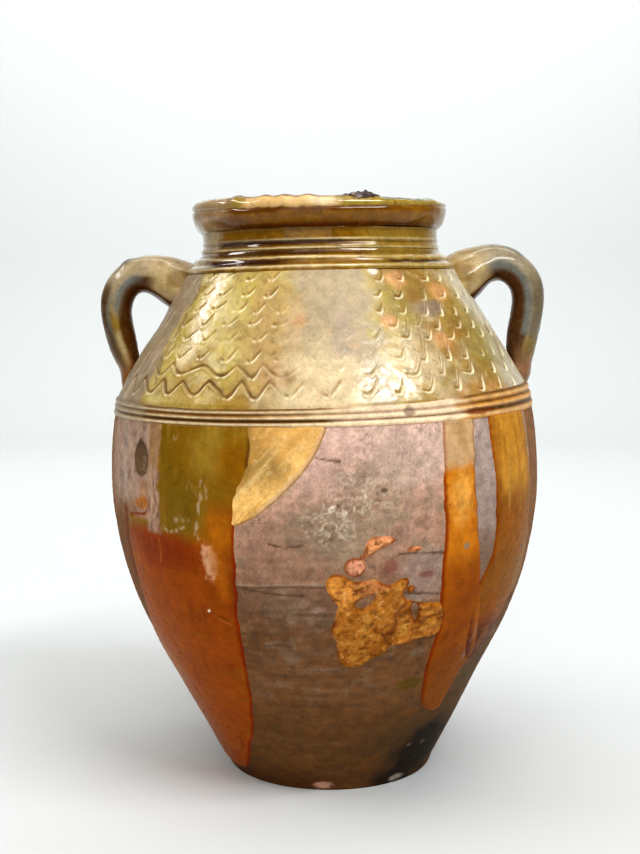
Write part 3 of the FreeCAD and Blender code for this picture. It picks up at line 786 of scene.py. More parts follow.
def paint_shoulder(piece, groove_shade, burr_highlight):
    theta, z, points = piece.place()
    coat = Coat(theta, z, points, OLIVE_YELLOW)
    lay, dab, stroke, clouds = coat.lay, coat.dab, coat.stroke, coat.clouds
    uneven = clouds((22, 22, 14), 41)
    small = clouds((8, 8, 8), 45)
    drips = rough(np.stack([theta * 2.2 - 0.12 * z, z / 7.0, 0 * z], axis=-1), (4.0, 4.0, 4.0), 42)
    left = fade(theta, -16, -6)
    lay(PALE_YELLOW, 0.55 * left * smooth(uneven + 0.4 * small, -0.1, 0.6))
    dab(DARK_OLIVE, 0.55 * left, (-33, 312), (17, 9), 0.35 * uneven, 0.5)
    dab(DARK_OLIVE, 0.9 * left, (-21.5, 306), (6, 6), 0.3 * small, 0.4)
    dab(DARK_OLIVE, 0.55 * left, (-40, 331), (6, 13), 0.4 * uneven, 0.5)
    dab(PURPLE_GREY, 0.55, (-15.5, 308), (3.5, 6), 0.3 * small, 0.5)
    dab((0.52, 0.36, 0.15), 0.7, (-19.5, 352), (5, 44), 0.35 * uneven, 0.5)
    dab((0.50, 0.34, 0.15), 0.75, (-13, 350), (7, 44), 0.4 * uneven + 0.3 * small, 0.6)
    dab((0.54, 0.34, 0.20), 0.6, (-12, 326), (4, 12), 0.4 * uneven + 0.3 * small, 0.6)
    middle = smooth(theta + 5 * uneven + 4 * small, -15, -3) * fade(theta + 5 * uneven, 14, 22)
    lay(CENTRE_BEIGE, middle)
    dab(CENTRE_PINK, 0.6 * middle, (-9.5, 358), (5, 17), 0.45 * uneven, 0.5)
    dab(LILAC_BEIGE, 0.8 * middle, (6.5, 350), (3.6, 28), 0.4 * uneven, 0.5)
    lay(CREAM, 0.85 * middle * smooth(-z + 12 * uneven, -346, -330) * fade(theta, 8, 16))
    lay(CENTRE_PINK, 0.45 * middle * smooth(small, 0.2, 0.7) * fade(z, 352, 368))
    dab(ORANGE, 0.5, (-6.5, 362), (2.4, 4), 0.4 * small, 0.5)
    dab((0.50, 0.42, 0.10), 0.6, (14.9, 352), (1.4, 3.4), 0.4 * small)

    right = smooth(theta + 5 * uneven, 18, 25)
    lay((0.50, 0.385, 0.21), right)
    lay(RIGHT_OLIVE, right * smooth(uneven + 0.5 * small, -0.35, 0.25))
    dab((0.27, 0.17, 0.025), 0.7, (33, 385), (9, 17), 0.6 * small, 0.6)
    lay((0.28, 0.17, 0.03), 0.6 * right * fade(theta, 48, 56) * smooth(clouds((9, 9, 12), 48), 0.05, 0.6))
    dab((0.36, 0.27, 0.035), 0.75, (26, 374), (4.5, 18), 0.4 * uneven, 0.5)
    lay(RIGHT_BROWN, 0.55 * smooth(theta + 5 * uneven, 38, 50) * fade(z + 8 * uneven, 352, 372))
    # Cream on the lower right shoulder: partly glaze and partly a painted highlight where the right window
    # reflects.
    dab(CREAM, 0.55, (24, 326), (9, 16), 0.4 * uneven, 0.5)
    # Painted shadows of the wave hooks, in brown.
    for centre, half in HOOK_SHADOWS:
        dab(RIGHT_BROWN, 0.75, centre, half, 0.5 * small, 0.5)
    for centre, half in ORANGE_BITS:
        dab(ORANGE, 0.85, centre, half, 0.4 * small, 0.5)
    dab(PURPLE_GREY, 0.85, (39, 368.5), (6.5, 6), 0.4 * small, 0.5)
    dab(ORANGE, 0.5, (52, 309), (14, 8), 0.4 * uneven, 0.5)
    # Pale grey-beige at the right edge: glaze colour, partly a painted reflection.
    lay((0.64, 0.59, 0.46), 0.9 * smooth(theta + 3 * uneven, 55, 64))
    dab((0.34, 0.28, 0.07), 0.6, (58, 340), (9, 26), 0.5 * uneven, 0.6)
    blots = clouds((5, 5, 5), 46)
    plain = (1 - 0.7 * middle) * (1 - 0.7 * smooth(theta, 44, 56))
    lay((0.24, 0.13, 0.02), 0.5 * smooth(blots, 0.25, 0.8) * plain)
    lay((0.33, 0.20, 0.05), 0.55 * smooth(clouds((12, 12, 16), 47), 0.1, 0.7) * (1 - 0.8 * middle))
    lay((0.70, 0.56, 0.30), 0.45 * smooth(-blots, 0.3, 0.9))

    # A cream streak down the left shoulder: cream glaze with a painted highlight along the left window's
    # reflection.
    highlight_streak = np.interp(z, (331, 343, 362, 377, 392), (-44.5, -43, -43.7, -42.6, -41.3))
    lay(CREAM, 0.85 * hump(theta + 1.5 * small, highlight_streak, 3.2) * smooth(z, 324, 334))
    # Grey-beige at the left edge and round the back: worn glaze, and at the left edge also a painted sheen
    # for a broad reflection.
    left_edge = np.interp(z, (320, 337, 357, 381, 398), (-55.7, -56.5, -56, -53.8, -55.5))
    grey = fade(theta + 2.2 * small, left_edge - 2, left_edge + 4)
    grey = np.maximum(grey, smooth(theta + 6 * uneven, 100, 140))
    lay(GREY_BEIGE, grey)
    lay((0.27, 0.19, 0.10), 0.6 * grey * smooth(drips, 0.1, 0.7))
    lay((0.55, 0.43, 0.30), 0.6 * grey * smooth(-drips, 0.1, 0.7))
    left_trail = ((-55.5, 400), (-52.5, 380), (-53, 356), (-54, 334), (-52, 318))
    stroke((0.27, 0.19, 0.09), 0.6, left_trail, 2.6, small)
    dab(WHITE_GLAZE, 1.0, (20.5, 396.5), (2.2, 3.2), 0.3 * small)
    lay(RIGHT_BROWN, 0.8 * between(theta, 22.5, 23.5, 42, 48) * hump(z, 397.6, 1.2))
    # Painted shade darkens the wave grooves, most in the lowest rows at the left, and a painted highlight
    # lightens the burrs.
    low_line = smooth(-z, -334, -322) * between(theta, -175, -140, -16, -8)
    lay((0.17, 0.075, 0.015), 0.9 * groove_shade * low_line)
    lay(GROOVE_SHADE_BROWN, 0.5 * groove_shade)
    lay((0.92, 0.83, 0.58), 0.75 * burr_highlight)
    wet = coat.patch((-46, 370), (9, 32), 0.4 * small, 0.4)
    wet = np.maximum(wet, coat.patch((17, 317), (9, 13), 0.5 * small, 0.4))
    broken = smooth(clouds((3.2, 3.2, 3.2), 49, 2), -0.35, 0.15)
    coat.gloss = 0.32 + 0.66 * wet * broken - 0.1 * grey
    lay(INSIDE_BROWN, ~piece.outside)
    return coat


def shoulder():
    foot = on_wall(np.array([BODY_SEAM_Z, BREAK_Z]))
    top = straight(SHOULDER_TOP, NECK_SEAM, 5)
    outer = joined(foot, straight(foot[1], SHOULDER_FOOT, 6), cone_rows(0, 140), top)
    inner_foot = (foot[0, 0] - BODY_WALL * 1.02, BODY_SEAM_Z)
    piece = Turned(outer, joined([(THROAT_R, NECK_SEAM_Z)], cone_rows(SHOULDER_WALL, 12)[::-1], [inner_foot]))
    relief, groove_shade, burr_highlight = combing(*piece.place())
    piece.emboss(relief + wall_relief(*piece.place()))
    piece.build("shoulder", "shoulder_glaze", paint_shoulder(piece, groove_shade, burr_highlight))


# Bands, neck and rim

BAND_BED = 3.0
BELLY_BAND_LOW = 289.3
BELLY_BAND_HEIGHT = 13.5
BELLY_BAND_TOP = (
    (-180, 305), (-90, 303.0), (-62, 302.8), (-32, 301.8), (2, 302.8), (26, 304.2), (44, 307.4),
    (64, 309.0), (90, 309.0),
)
BAND_GROOVES = (0.33, 0.64, 0.94)
BAND_BROWN = (0.15, 0.07, 0.008)
BAND_PALE = (0.94, 0.72, 0.47)
BAND_CREST_HIGHLIGHT = (0.94, 0.78, 0.52)
BAND_PINK = (0.87, 0.64, 0.45)
BAND_ORANGE = (0.71, 0.33, 0.052)
BAND_TAN = (0.31, 0.155, 0.033)
BAND_NOTCH = (20.9, 297.8)


def band_paint(piece, share):
    theta, z, points = piece.place()
    coat = Coat(theta, z, points, BAND_TAN, 0.6)
    lay, dab, clouds = coat.lay, coat.dab, coat.clouds
    uneven = clouds((18, 18, 5), 52)
    small = clouds((6, 6, 3), 53)
    middle = smooth(theta + 4 * uneven, -3, 9) * fade(theta + 5 * uneven, 32, 40)
    right = smooth(theta + 5 * uneven, 33, 41) * fade(theta, 100, 140)
    left_grey = np.maximum(fade(theta + 2 * uneven, -54, -49), smooth(theta + 5 * uneven, 105, 140))
    lay(BAND_PALE, 0.75 * smooth(theta + 6 * uneven, -20, 5))
    lay(BAND_PINK, middle)
    lay(BAND_ORANGE, right)
    lay(GREY_BEIGE, left_grey)
    # Painted highlights along the three crests.
    crest_highlight = hump(share, 0.485, 0.05) + hump(share, 0.80, 0.055) + hump(share, 0.17, 0.08)
    lay(BAND_CREST_HIGHLIGHT, (0.85 - 0.4 * right - 0.5 * left_grey) * crest_highlight * (1 + 0.3 * small))
    bare = 1 - 0.85 * middle
    low, mid, top = BAND_GROOVES
    low_line = hump(share, low, 0.105 - 0.04 * middle) * (bare + 0.15)
    mid_line = hump(share, mid, 0.06) * (0.35 + 0.6 * right) * bare
    top_line = hump(share, top, 0.085) * bare
    dark = np.maximum(np.maximum(low_line, mid_line), top_line) * (1 - 0.5 * left_grey)
    lay(BAND_BROWN, 0.97 * dark * (1 + 0.25 * small))
    lay(CLAY_DARK_LINE, 0.45 * middle * np.maximum(hump(share, low, 0.05), hump(share, mid, 0.05)))
    dab(CLAY_DARK_LINE, 0.6, BAND_NOTCH, (1.6, 3.2), 0.3 * small)
    dab((0.22, 0.05, 0.004), 0.7 * right, (42, 295), (6, 2.2), 0.5 * small)
    return coat


def belly_band():
    outer = on_wall(BELLY_BAND_LOW + np.linspace(0, 1, 46) * BELLY_BAND_HEIGHT)
    piece = Turned(outer, outer[::-6] - (BAND_BED, 0.0))
    share = (piece.z - BELLY_BAND_LOW) / BELLY_BAND_HEIGHT
    z = BELLY_BAND_LOW + share * (around(piece.theta, BELLY_BAND_TOP) - BELLY_BAND_LOW)
    points = spot(piece.theta, z, wall_radius(z) - np.where(piece.outside, 0.0, BAND_BED))
    piece.z = z
    piece.points = points
    ridge = np.abs(np.sin(math.pi * 3 * share)) ** 0.8
    force = 1 + 0.25 * noise(points, (18, 18, 6), 51)
    notch = 0.8 * patch(piece.theta, z, BAND_NOTCH, (1.2, 4.0))
    proud = 0.15 + (1.45 * force - notch) * ridge + wobble(points) + 0.15 * noise(points, (5, 5, 3), 54)
    at_edge = (share < 0.005) | (share > 0.995)
    piece.emboss(np.where(at_edge, wobble(points) - 0.3, proud))
    piece.build("belly_band", "band_clay", band_paint(piece, share))


NECK_BAND_GROOVES = (397.6, 403.6, 410.6, 418.6)
NECK_OLIVE = (0.30, 0.15, 0.002)
NECK_TAN = (0.36, 0.235, 0.04)
NECK_DARK_AND_SHADE = (0.065, 0.02, 0.002)
NECK_LIGHT = (0.84, 0.71, 0.42)
NECK_GREY = (0.48, 0.38, 0.25)
GOLD_SPECK = (0.80, 0.58, 0.18)
NECK_LINES = (400.0, 406.5, 414.5, 420.7)


def neck_colours(piece):
    """Olive glaze over the tooled lines, with painted shade and dark painted reflection in the grooves, fat
    at the left and thin at the right, and painted shadow under the rim.
    """
    theta, z, points = piece.place()
    coat = Coat(theta, z, points, NECK_OLIVE)
    lay, clouds = coat.lay, coat.clouds
    uneven = clouds((16, 16, 6), 62)
    small = clouds((5, 5, 2.5), 63)
    right = smooth(theta + 5 * uneven, 12, 26) * fade(theta, 120, 170)
    lay(NECK_TAN, 0.8 * right * fade(theta, 100, 140))
    lay(NECK_LIGHT, 0.16 * smooth(0.35 * uneven + small, 0.1, 0.9) * smooth(-z, -427, -422))
    lay(NECK_DARK_AND_SHADE, 0.4 * (1 - right) * smooth(-0.6 * uneven - 0.6 * small, -0.1, 0.7))
    lay(GOLD_SPECK, 0.6 * smooth(clouds((1.6, 1.6, 1.6), 64, 2), 0.75, 1.1))
    for line in NECK_LINES:
        lay(NECK_LIGHT, (0.85 - 0.4 * right) * hump(z + 0.3 * small, line, 0.75))
    _, low, middle, high = NECK_BAND_GROOVES
    left = fade(theta, -22, -6)
    strengths = (
        (low, left * smooth(theta, -68, -58) + 0.85 * between(theta, 26, 32, 58, 66) + 0.12),
        (middle, 0.95 - 0.5 * between(theta, -4, 14, 120, 170)),
        (high, 0.95 - 0.7 * between(theta, 4, 20, 120, 170)),
    )
    fat = np.interp(theta, (-180, -62, -28, 5, 40, 180), (1.4, 2.9, 2.6, 1.7, 1.2, 1.4))
    # Painted shade and dark painted reflection fill the grooves between the crests.
    for line, strength in strengths:
        lay(NECK_DARK_AND_SHADE, strength * np.exp(-np.abs((z + 0.3 * small - line) / fat) ** 3))
    # Painted shadow under the rim.
    lay(NECK_DARK_AND_SHADE, 0.3 * smooth(z, RIM_UNDER_Z - 3, RIM_UNDER_Z))
    lay(NECK_GREY, 0.75 * fade(theta + 6 * uneven, -60, -50) * smooth(theta, -130, -110))
    lay(NECK_GREY, 0.5 * smooth(theta + 6 * uneven, 62, 72) * fade(theta, 110, 130))
    return coat


def neck_band():
    low, *_, high = NECK_BAND_GROOVES
    outer = on_wall(np.linspace(low, high, 62))
    piece = Turned(outer, outer[::-8] - (BAND_BED, 0.0))
    _, z, points = piece.place()
    ridge = np.abs(np.sin(math.pi * np.interp(z, NECK_BAND_GROOVES, (0, 1, 2, 3)))) ** 1.5
    force = 1 + 0.25 * noise(points, (18, 18, 8), 61)
    proud = 0.1 + 1.5 * force * ridge + wobble(points)
    at_edge = (z < low + 0.05) | (z > high - 0.05)
    piece.emboss(np.where(at_edge, wobble(points) - 0.3, proud))
    piece.build("neck_band", "neck_glaze", neck_colours(piece))


def neck():
    outer = joined([NECK_SEAM], straight((NECK_R, NECK_FOOT_Z), (NECK_R, RIM_UNDER_Z), 30), [RIM_SEAM])
    inner = [(THROAT_R, RIM_SEAM_Z), (THROAT_R, 420.0), (THROAT_R, NECK_SEAM_Z)]
    piece = Turned(outer, inner, FRONT_STEP)
    piece.emboss(wobble(piece.points) + 0.5 * hump(piece.z, 420.6, 0.9))
    coat = neck_colours(piece)
    coat.lay(INSIDE_BROWN, ~piece.outside)
    piece.build("neck", "neck_glaze", coat)


RIM_LIFT = ((-180, 2.0), (-90, 4.0), (-40, 2.6), (0, 1.2), (45, 0.6), (90, 0.2))
RIM_BUMPS = ((-39.0, 3.2), (-24.5, 3.0), (-14.7, 3.0), (-4.7, 3.0), (62.0, 4.0), (118.0, 5.0), (-120.0, 5.0))
RIM_TAN = (0.74, 0.50, 0.23)
RIM_OLIVE = (0.28, 0.125, 0.003)
RIM_DARK_AND_SHADE = (0.12, 0.032, 0.002)
RIM_GREY = (0.42, 0.295, 0.17)
RIM_GOLD = (0.41, 0.28, 0.05)
RIM_BLUE = (0.22, 0.22, 0.15)
RIM_CHIP = (0.13, 0.075, 0.035)
SLAG_DARK = (0.12, 0.095, 0.085)
SLAG_PALE = (0.36, 0.30, 0.27)


def rim_crease(theta):
    """The height of the crease where the rim's upright face meets its round top."""
    angle = np.radians(theta)
    return 442.3 + 1.11 * np.sin(angle) - 3.94 * (np.cos(angle) - 1)


def rim_lift(theta):
    """How far the rim's crest stands over its even height."""
    lift = around(theta, RIM_LIFT)
    for centre, width in RIM_BUMPS:
        lift = lift + 1.3 * hump(turn(theta - centre), 0, width)
    return lift


def rim_paint(coat, crown):
    """crown is the height over the crease, in millimetres."""
    theta, z = coat.theta, coat.z
    lay, dab, clouds = coat.lay, coat.dab, coat.clouds
    uneven = clouds((16, 16, 5), 72)
    small = clouds((4, 4, 4), 73)
    lay(RIM_GOLD, 0.35 * smooth(small, 0.2, 0.9))
    lay(RIM_DARK_AND_SHADE, 0.45 * smooth(-0.6 * uneven - 0.5 * small, -0.1, 0.7) * between(theta, -170, -120, 5, 25))
    lay(GOLD_SPECK, 0.6 * smooth(clouds((1.6, 1.6, 1.6), 75, 2), 0.75, 1.1))
    # A dark band at the foot of the rim's face: painted shadow where the rim overhangs the neck.
    lay(RIM_DARK_AND_SHADE, 0.95 * hump(z + 0.6 * uneven, 430.6, 2.5))
    # Painted shade just below the crease.
    lay(RIM_DARK_AND_SHADE, 0.8 * hump(crown + 0.3 * small, -1.2, 1.5) * between(theta, -170, -120, 25, 45))
    top = smooth(crown + 0.4 * small, -0.1, 0.9)
    lay(RIM_GOLD, top)
    tan = smooth(theta + 2 * uneven, -36, -30) * fade(theta + 2 * small, 6, 10)
    lay(RIM_TAN, top * tan)
    dab((0.82, 0.66, 0.46), 0.6 * top, (2, 448), (6, 4), 0.4 * small, 0.5)
    lay((0.36, 0.24, 0.12), 0.8 * top * between(theta, -120, -90, -42, -36))
    lay(RIM_DARK_AND_SHADE, 0.45 * top * smooth(-small, 0.3, 0.8) * between(theta, 8, 14, 75, 90))
    for centre, width in RIM_BUMPS:
        chipped = hump(turn(theta - centre), 0, 0.8 * width) * smooth(crown, 5.2, 6.8)
        lay(RIM_CHIP, 0.8 * chipped)
    lay(RIM_CHIP, 0.65 * smooth(crown + 0.7 * small, 5.0, 6.2) * fade(np.abs(theta + 15), 26, 32))
    left_end = fade(theta + 5 * uneven, -50, -38) * smooth(theta, -130, -110)
    lay(RIM_GREY, 0.8 * left_end)
    dab(RIM_DARK_AND_SHADE, 0.55, (-42, 434), (11, 4.5), 0.4 * uneven, 0.5)
    lay(RIM_GREY, 0.5 * smooth(theta + 5 * uneven, 62, 72) * fade(theta, 110, 130))
    lay(RIM_BLUE, 0.9 * smooth(crown + 0.4 * small, 3.8, 5.2) * between(theta, 26, 30, 66, 78))


def rim():
    outer = joined(
        [RIM_SEAM],
        bulged(RIM_SEAM, (RIM_R, RIM_FACE_LOW_Z), 0.8, 18),
        straight((RIM_R, RIM_FACE_LOW_Z), (RIM_R, RIM_CREASE_Z), 7),
        bulged((RIM_R, RIM_CREASE_Z), (RIM_CREST_R, TOTAL_HEIGHT), 3.0, 26),
        bulged((RIM_CREST_R, TOTAL_HEIGHT), (THROAT_R, RIM_INNER_Z), 1.5, 20),
    )
    piece = Turned(outer, [(THROAT_R, 438.0), (THROAT_R, RIM_SEAM_Z)])
    theta, even_z, points = piece.place()
    crease = -0.9 * hump(even_z, RIM_CREASE_Z, 0.9) * (even_z < 447)
    chips = 0.5 * np.minimum(noise(points, (6, 6, 5), 74), 0) * smooth(even_z, 446, 449)
    piece.emboss(wobble(points) + crease + 0.35 * noise(points, (14, 14, 8), 71) + chips)
    near_crease = np.interp(even_z, (434, RIM_CREASE_Z, TOTAL_HEIGHT), (0, 1, 0))
    shift = near_crease * (rim_crease(theta) - RIM_CREASE_Z)
    z = piece.points[..., 2]
    z += shift + smooth(even_z, 436, 449) * rim_lift(theta)
    outer_rows = (np.arange(len(piece.rows)) <= np.argmax(piece.rows[:, 1]))[:, None]
    crown = np.where(outer_rows, even_z - RIM_CREASE_Z, TOTAL_HEIGHT - RIM_CREASE_Z)
    coat = Coat(theta, z, piece.points, RIM_OLIVE)
    rim_paint(coat, crown)
    coat.lay(INSIDE_BROWN, ~piece.outside)
    piece.build("rim", "neck_glaze", coat)


def rim_slag():
    """The clinker that fused to the front of the rim."""
    round_it = np.linspace(0, 2 * math.pi, 40, endpoint=False)
    along, angle = np.meshgrid(np.linspace(0, 1, 110), round_it, indexing="ij")
    theta = 9.5 + along * 19.5
    swell = np.sqrt(np.maximum(np.sin(math.pi * np.clip(along, 0.01, 0.99)), 0.03))
    crest_z = TOTAL_HEIGHT - 1.2 + rim_lift(theta)
    crest_r = RIM_CREST_R + 1.5
    skin = spot(theta, crest_z, crest_r) + spot(angle * 57, angle * 3, 5.0)
    lumpy = 1 + 0.30 * noise(skin, 5.0, 81) + 0.30 * noise(skin, 2.2, 83)
    z = crest_z + 4.6 * swell * lumpy * np.sin(angle)
    points = spot(theta, z, crest_r + 6.2 * swell * lumpy * np.cos(angle))
    coat = Coat(theta, z, points, SLAG_DARK, 0.3)
    coat.lay(SLAG_PALE, smooth(coat.clouds(5, 82), 0.1, 0.7))
    build("rim_slag", "slag", points, tube_faces(z.shape, True), coat.paint, coat.gloss)


# Handles: stations of (radius, height, thickness, breadth) from the root on the shoulder to the tail

LEFT_STATIONS = (
    (102.9, 384.5, 40.0, 66.0), (119.4, 393.5, 36.0, 57.0), (128.9, 397.3, 32.5, 46.0),
    (143.4, 399.0, 29.0, 37.0), (154.0, 394.8, 26.7, 35.0), (163.3, 381.0, 26.0, 34.0),
    (164.9, 368.0, 24.6, 33.0), (162.2, 350.1, 23.5, 32.0), (159.4, 339.1, 21.8, 31.0),
    (155.5, 322.1, 17.0, 31.0), (158.3, 301.4, 12.5, 34.0),
)
RIGHT_STATIONS = (
    (102.9, 384.0, 40.0, 68.0), (119.4, 396.0, 36.5, 58.0), (128.9, 400.5, 31.0, 48.0),
    (143.4, 402.6, 29.0, 38.0), (154.1, 398.1, 26.5, 36.0), (164.8, 384.5, 26.2, 35.5),
    (166.5, 372.5, 25.8, 35.0), (164.0, 353.1, 25.5, 34.5), (161.3, 340.6, 24.4, 33.0),
    (159.6, 321.6, 20.3, 32.0), (160.4, 301.4, 14.5, 34.0),
)
HANDLE_ROLL = math.radians(12.0)
TAN_GLAZE = (0.42, 0.33, 0.205)
BROWN_GLAZE = (0.115, 0.042, 0.003)
OLIVE_GLAZE = (0.30, 0.19, 0.02)
BLUE_GREY_GLAZE_AND_REFLECTION = (0.21, 0.215, 0.19)
LEFT_TAIL = (0.27, 0.13, 0.04)
RIGHT_TAIL = (0.33, 0.185, 0.095)
KNOB_SHARE = 0.33
HANDLE_MIDDLE = (125.0, 0.0, 350.0)


def spline(knots, values, at):
    """A smooth natural curve through the values."""
    knots = np.asarray(knots, float)
    values = np.asarray(values, float)
    gap = np.diff(knots)
    size = len(knots)
    system = np.eye(size)
    right = np.zeros((size,) + values.shape[1:])
    for i in range(1, size - 1):
        system[i, i - 1:i + 2] = (gap[i - 1], 2 * (gap[i - 1] + gap[i]), gap[i])
        right[i] = 6 * ((values[i + 1] - values[i]) / gap[i] - (values[i] - values[i - 1]) / gap[i - 1])
    bend = np.linalg.solve(system, right)
    i = np.clip(np.searchsorted(knots, at) - 1, 0, size - 2)
    h = gap[i][:, None]
    a = ((knots[i + 1] - at)[:, None]) / h
    b = 1 - a
    return (a * values[i] + b * values[i + 1]
            + ((a ** 3 - a) * bend[i] + (b ** 3 - b) * bend[i + 1]) * h ** 2 / 6)


def upright(pairs):
    """Places or directions in the plane of both handles, from (radius, height)."""
    return np.stack([pairs[:, 0], np.zeros(len(pairs)), pairs[:, 1]], axis=1)


def handle_paint(side, coat, back, knob):
    """Tan over the outer face, blue-grey glaze with a painted reflection along the front edge, and dark brown
    inside.

    The coat's share runs from the root to the tail and its out from -1 at the eye to 1 outside. back runs
    from -1 at the front.
    """
    out, share = coat.theta, coat.z
    lay, clouds = coat.lay, coat.clouds
    uneven = clouds((14, 14, 14), 93)
    small = clouds((4, 4, 4), 94)
    seen = fade(back, -0.1, 0.5)
    if side < 0:
        olive = smooth(out + 0.15 * uneven, -0.45, -0.1) * smooth(share, 0.42, 0.52)
        lay(OLIVE_GLAZE, olive)
        lay(TAN_GLAZE, smooth(out + 0.12 * uneven, -0.15, 0.15) * fade(share, 0.46, 0.58))
        arch = hump(out, -0.12, 0.32) * between(share, 0.24, 0.34, 0.50, 0.62)
        edge = smooth(out + 0.1 * uneven, 0.25, 0.55) * smooth(share, 0.42, 0.52)
        # Blue-grey glaze along the front edge and under the arch, with a painted reflection on the side that
        # faces the front.
        lay(BLUE_GREY_GLAZE_AND_REFLECTION, 0.95 * seen * np.maximum(arch, 0.8 * edge * fade(share, 0.66, 0.82)))
        lay((0.10, 0.05, 0.012), 0.85 * edge * smooth(share, 0.56, 0.70))
        lay((0.11, 0.05, 0.008), 0.75 * smooth(out + 0.1 * uneven, 0.55, 0.8) * smooth(share, 0.40, 0.46))
        outer = smooth(out + 0.1 * uneven, 0.62, 0.85) * between(share, 0.42, 0.50, 0.78, 0.88)
        lay((0.12, 0.05, 0.004), 0.7 * outer)
        pale = hump(out + 0.1 * uneven, 0.05, 0.28) * between(share, 0.62, 0.68, 0.82, 0.88)
        lay((0.50, 0.40, 0.24), 0.8 * pale)
    else:
        lay((0.34, 0.285, 0.19), smooth(out + 0.12 * uneven, 0.0, 0.3))
        lay((0.20, 0.155, 0.095), 0.85 * smooth(out + 0.15 * uneven, 0.2, 0.5) * smooth(share, 0.38, 0.52))
        arch = np.exp(-np.abs((out + 0.08 * uneven + 0.02) / 0.33) ** 3) * smooth(share, 0.14, 0.22)
        # Blue-grey glaze along the front edge, with a painted reflection on the side that faces the front.
        lay(BLUE_GREY_GLAZE_AND_REFLECTION, 0.9 * seen * arch * fade(share + 0.02 * uneven, 0.70, 0.74))
        lay(OLIVE_GLAZE, 0.6 * smooth(out + 0.2 * uneven, -0.1, 0.3) * smooth(share, 0.70, 0.76))
    root = fade(share + 0.03 * uneven, 0.16, 0.26)
    top_side = out + 0.2 * uneven + 1.3 * smooth(np.abs(back), 0.55, 0.9)
    lay((0.54, 0.41, 0.21), 0.85 * root * smooth(top_side, -0.8, -0.4))
    lay((0.24, 0.14, 0.02), 0.7 * root * smooth(uneven, 0.0, 0.6))
    tail = smooth(share + 0.03 * uneven, 0.76, 0.88) * smooth(out, -0.9, -0.3)
    lay(LEFT_TAIL if side < 0 else RIGHT_TAIL, tail)
    lay((0.20, 0.13, 0.06), 0.5 * smooth(small, 0.35, 0.9))
    lay((0.70, 0.56, 0.36), 0.35 * smooth(-small, 0.55, 1.0) * smooth(out, -0.2, 0.2))
    dark_top = hump(share, KNOB_SHARE, 0.05) * smooth(out, 0.85, 0.98)
    lay((0.09, 0.09, 0.075), 0.85 * np.maximum(knob, dark_top))


def handle(piece, side, stations):
    """A pulled strap along its stations, drawn at the right and mirrored for the left."""
    stations = np.array(stations)
    lengths = np.r_[0, np.cumsum(np.hypot(*np.diff(stations[:, :2], axis=0).T))]
    at = np.linspace(0, lengths[-1], 150)
    share = at / lengths[-1]
    route = spline(lengths, stations, at)
    ahead = spline(lengths, stations, at + 0.01)[:, :2] - route[:, :2]
    route[:, 2] *= 1 - 0.35 * smooth(share, 0.93, 1.0)
    across = np.array([0.0, 1.0, 0.0])
    direction = upright(ahead / np.hypot(*ahead.T)[:, None])
    through = np.cross(across, direction)
    major = across * math.cos(HANDLE_ROLL) + np.cross(direction, across) * math.sin(HANDLE_ROLL)
    minor = through * math.cos(HANDLE_ROLL) + np.cross(direction, through) * math.sin(HANDLE_ROLL)
    v = np.linspace(0, 2 * math.pi, 72, endpoint=False)
    centre = upright(route[:, :2])[:, None]
    thickness = route[:, 2, None, None]
    breadth = route[:, 3, None, None]
    wide = major[:, None] * (breadth / 2) * np.cos(v)[None, :, None]
    thick = minor[:, None] * (thickness / 2) * np.sin(v)[None, :, None]
    outward = wide / breadth ** 2 + thick / thickness ** 2
    outward /= np.linalg.norm(outward, axis=-1)[..., None]
    points = centre + wide + thick
    share = np.broadcast_to(share[:, None], points.shape[:2])
    points = points + outward * (0.5 * noise(points, 16, 91) + 0.25 * noise(points, 7, 92))[..., None]

    # Keep the buried ends a little way inside the wall
    least = wall_radius(points[..., 2]) - 4.0
    points[..., :2] *= np.maximum(least / np.hypot(points[..., 0], points[..., 1]), 1.0)[..., None]

    from_eye = np.sum(through * (centre[:, 0] - HANDLE_MIDDLE), axis=1) > 0
    away = np.where(from_eye, 1.0, -1.0)[:, None] * through
    out = np.sum(outward * away[:, None], axis=-1)
    knob = hump(share, KNOB_SHARE, 0.022) * smooth(out, 0.75, 0.95) * (side < 0)
    points = points + outward * (1.3 * knob)[..., None]
    coat = Coat(out, share, points, BROWN_GLAZE, 0.85)
    handle_paint(side, coat, outward[..., 1], knob)
    points[..., 0] *= side
    build(piece, "handle_glaze", points, tube_faces(share.shape, side < 0), coat.paint, coat.gloss)


# Glaze runs that stand proud of the clay

LEFT_RUN = (
    (-49.6, 330), (-49.4, 288), (-48.8, 257), (-49.2, 238), (-49.6, 226), (-52, 222.4), (-59.4, 221.5),
    (-60.6, 217), (-61.6, 195), (-61.6, 180), (-63, 150), (-69, 122), (-77, 96), (-85, 60), (-84, 26),
    (-70, 8), (-50, 7), (-43, 20), (-36, 40), (-31.8, 52), (-27.5, 81), (-25.5, 109), (-24.3, 134),
    (-23.6, 158), (-22.7, 182), (-22, 211), (-21.2, 236), (-20.2, 245), (-18.6, 254), (-17.6, 261),
    (-16.9, 271), (-17.2, 281), (-18.0, 292), (-18.0, 330),
)
TONGUE = (
    (-27, 330), (3.5, 330), (0.8, 290), (-0.2, 281), (-1.9, 271.5), (-4.8, 258.8), (-8.5, 247.9),
    (-12.4, 236.8), (-16.4, 228.1), (-20.5, 222), (-25, 217), (-27, 240),
)
RIGHT_RUN = (
    (30, 330), (30, 286), (29.8, 259), (29.2, 242), (29.9, 220), (29.6, 191), (30.3, 162), (32.2, 137),
    (31.2, 124), (31.1, 108), (33.8, 77), (38, 66), (46.2, 59), (48, 70), (48.5, 83), (49.8, 96),
    (52.8, 112), (48.2, 135), (43.9, 168), (40.9, 202), (38.8, 232), (38.9, 259), (39.8, 286), (39.8, 330),
)
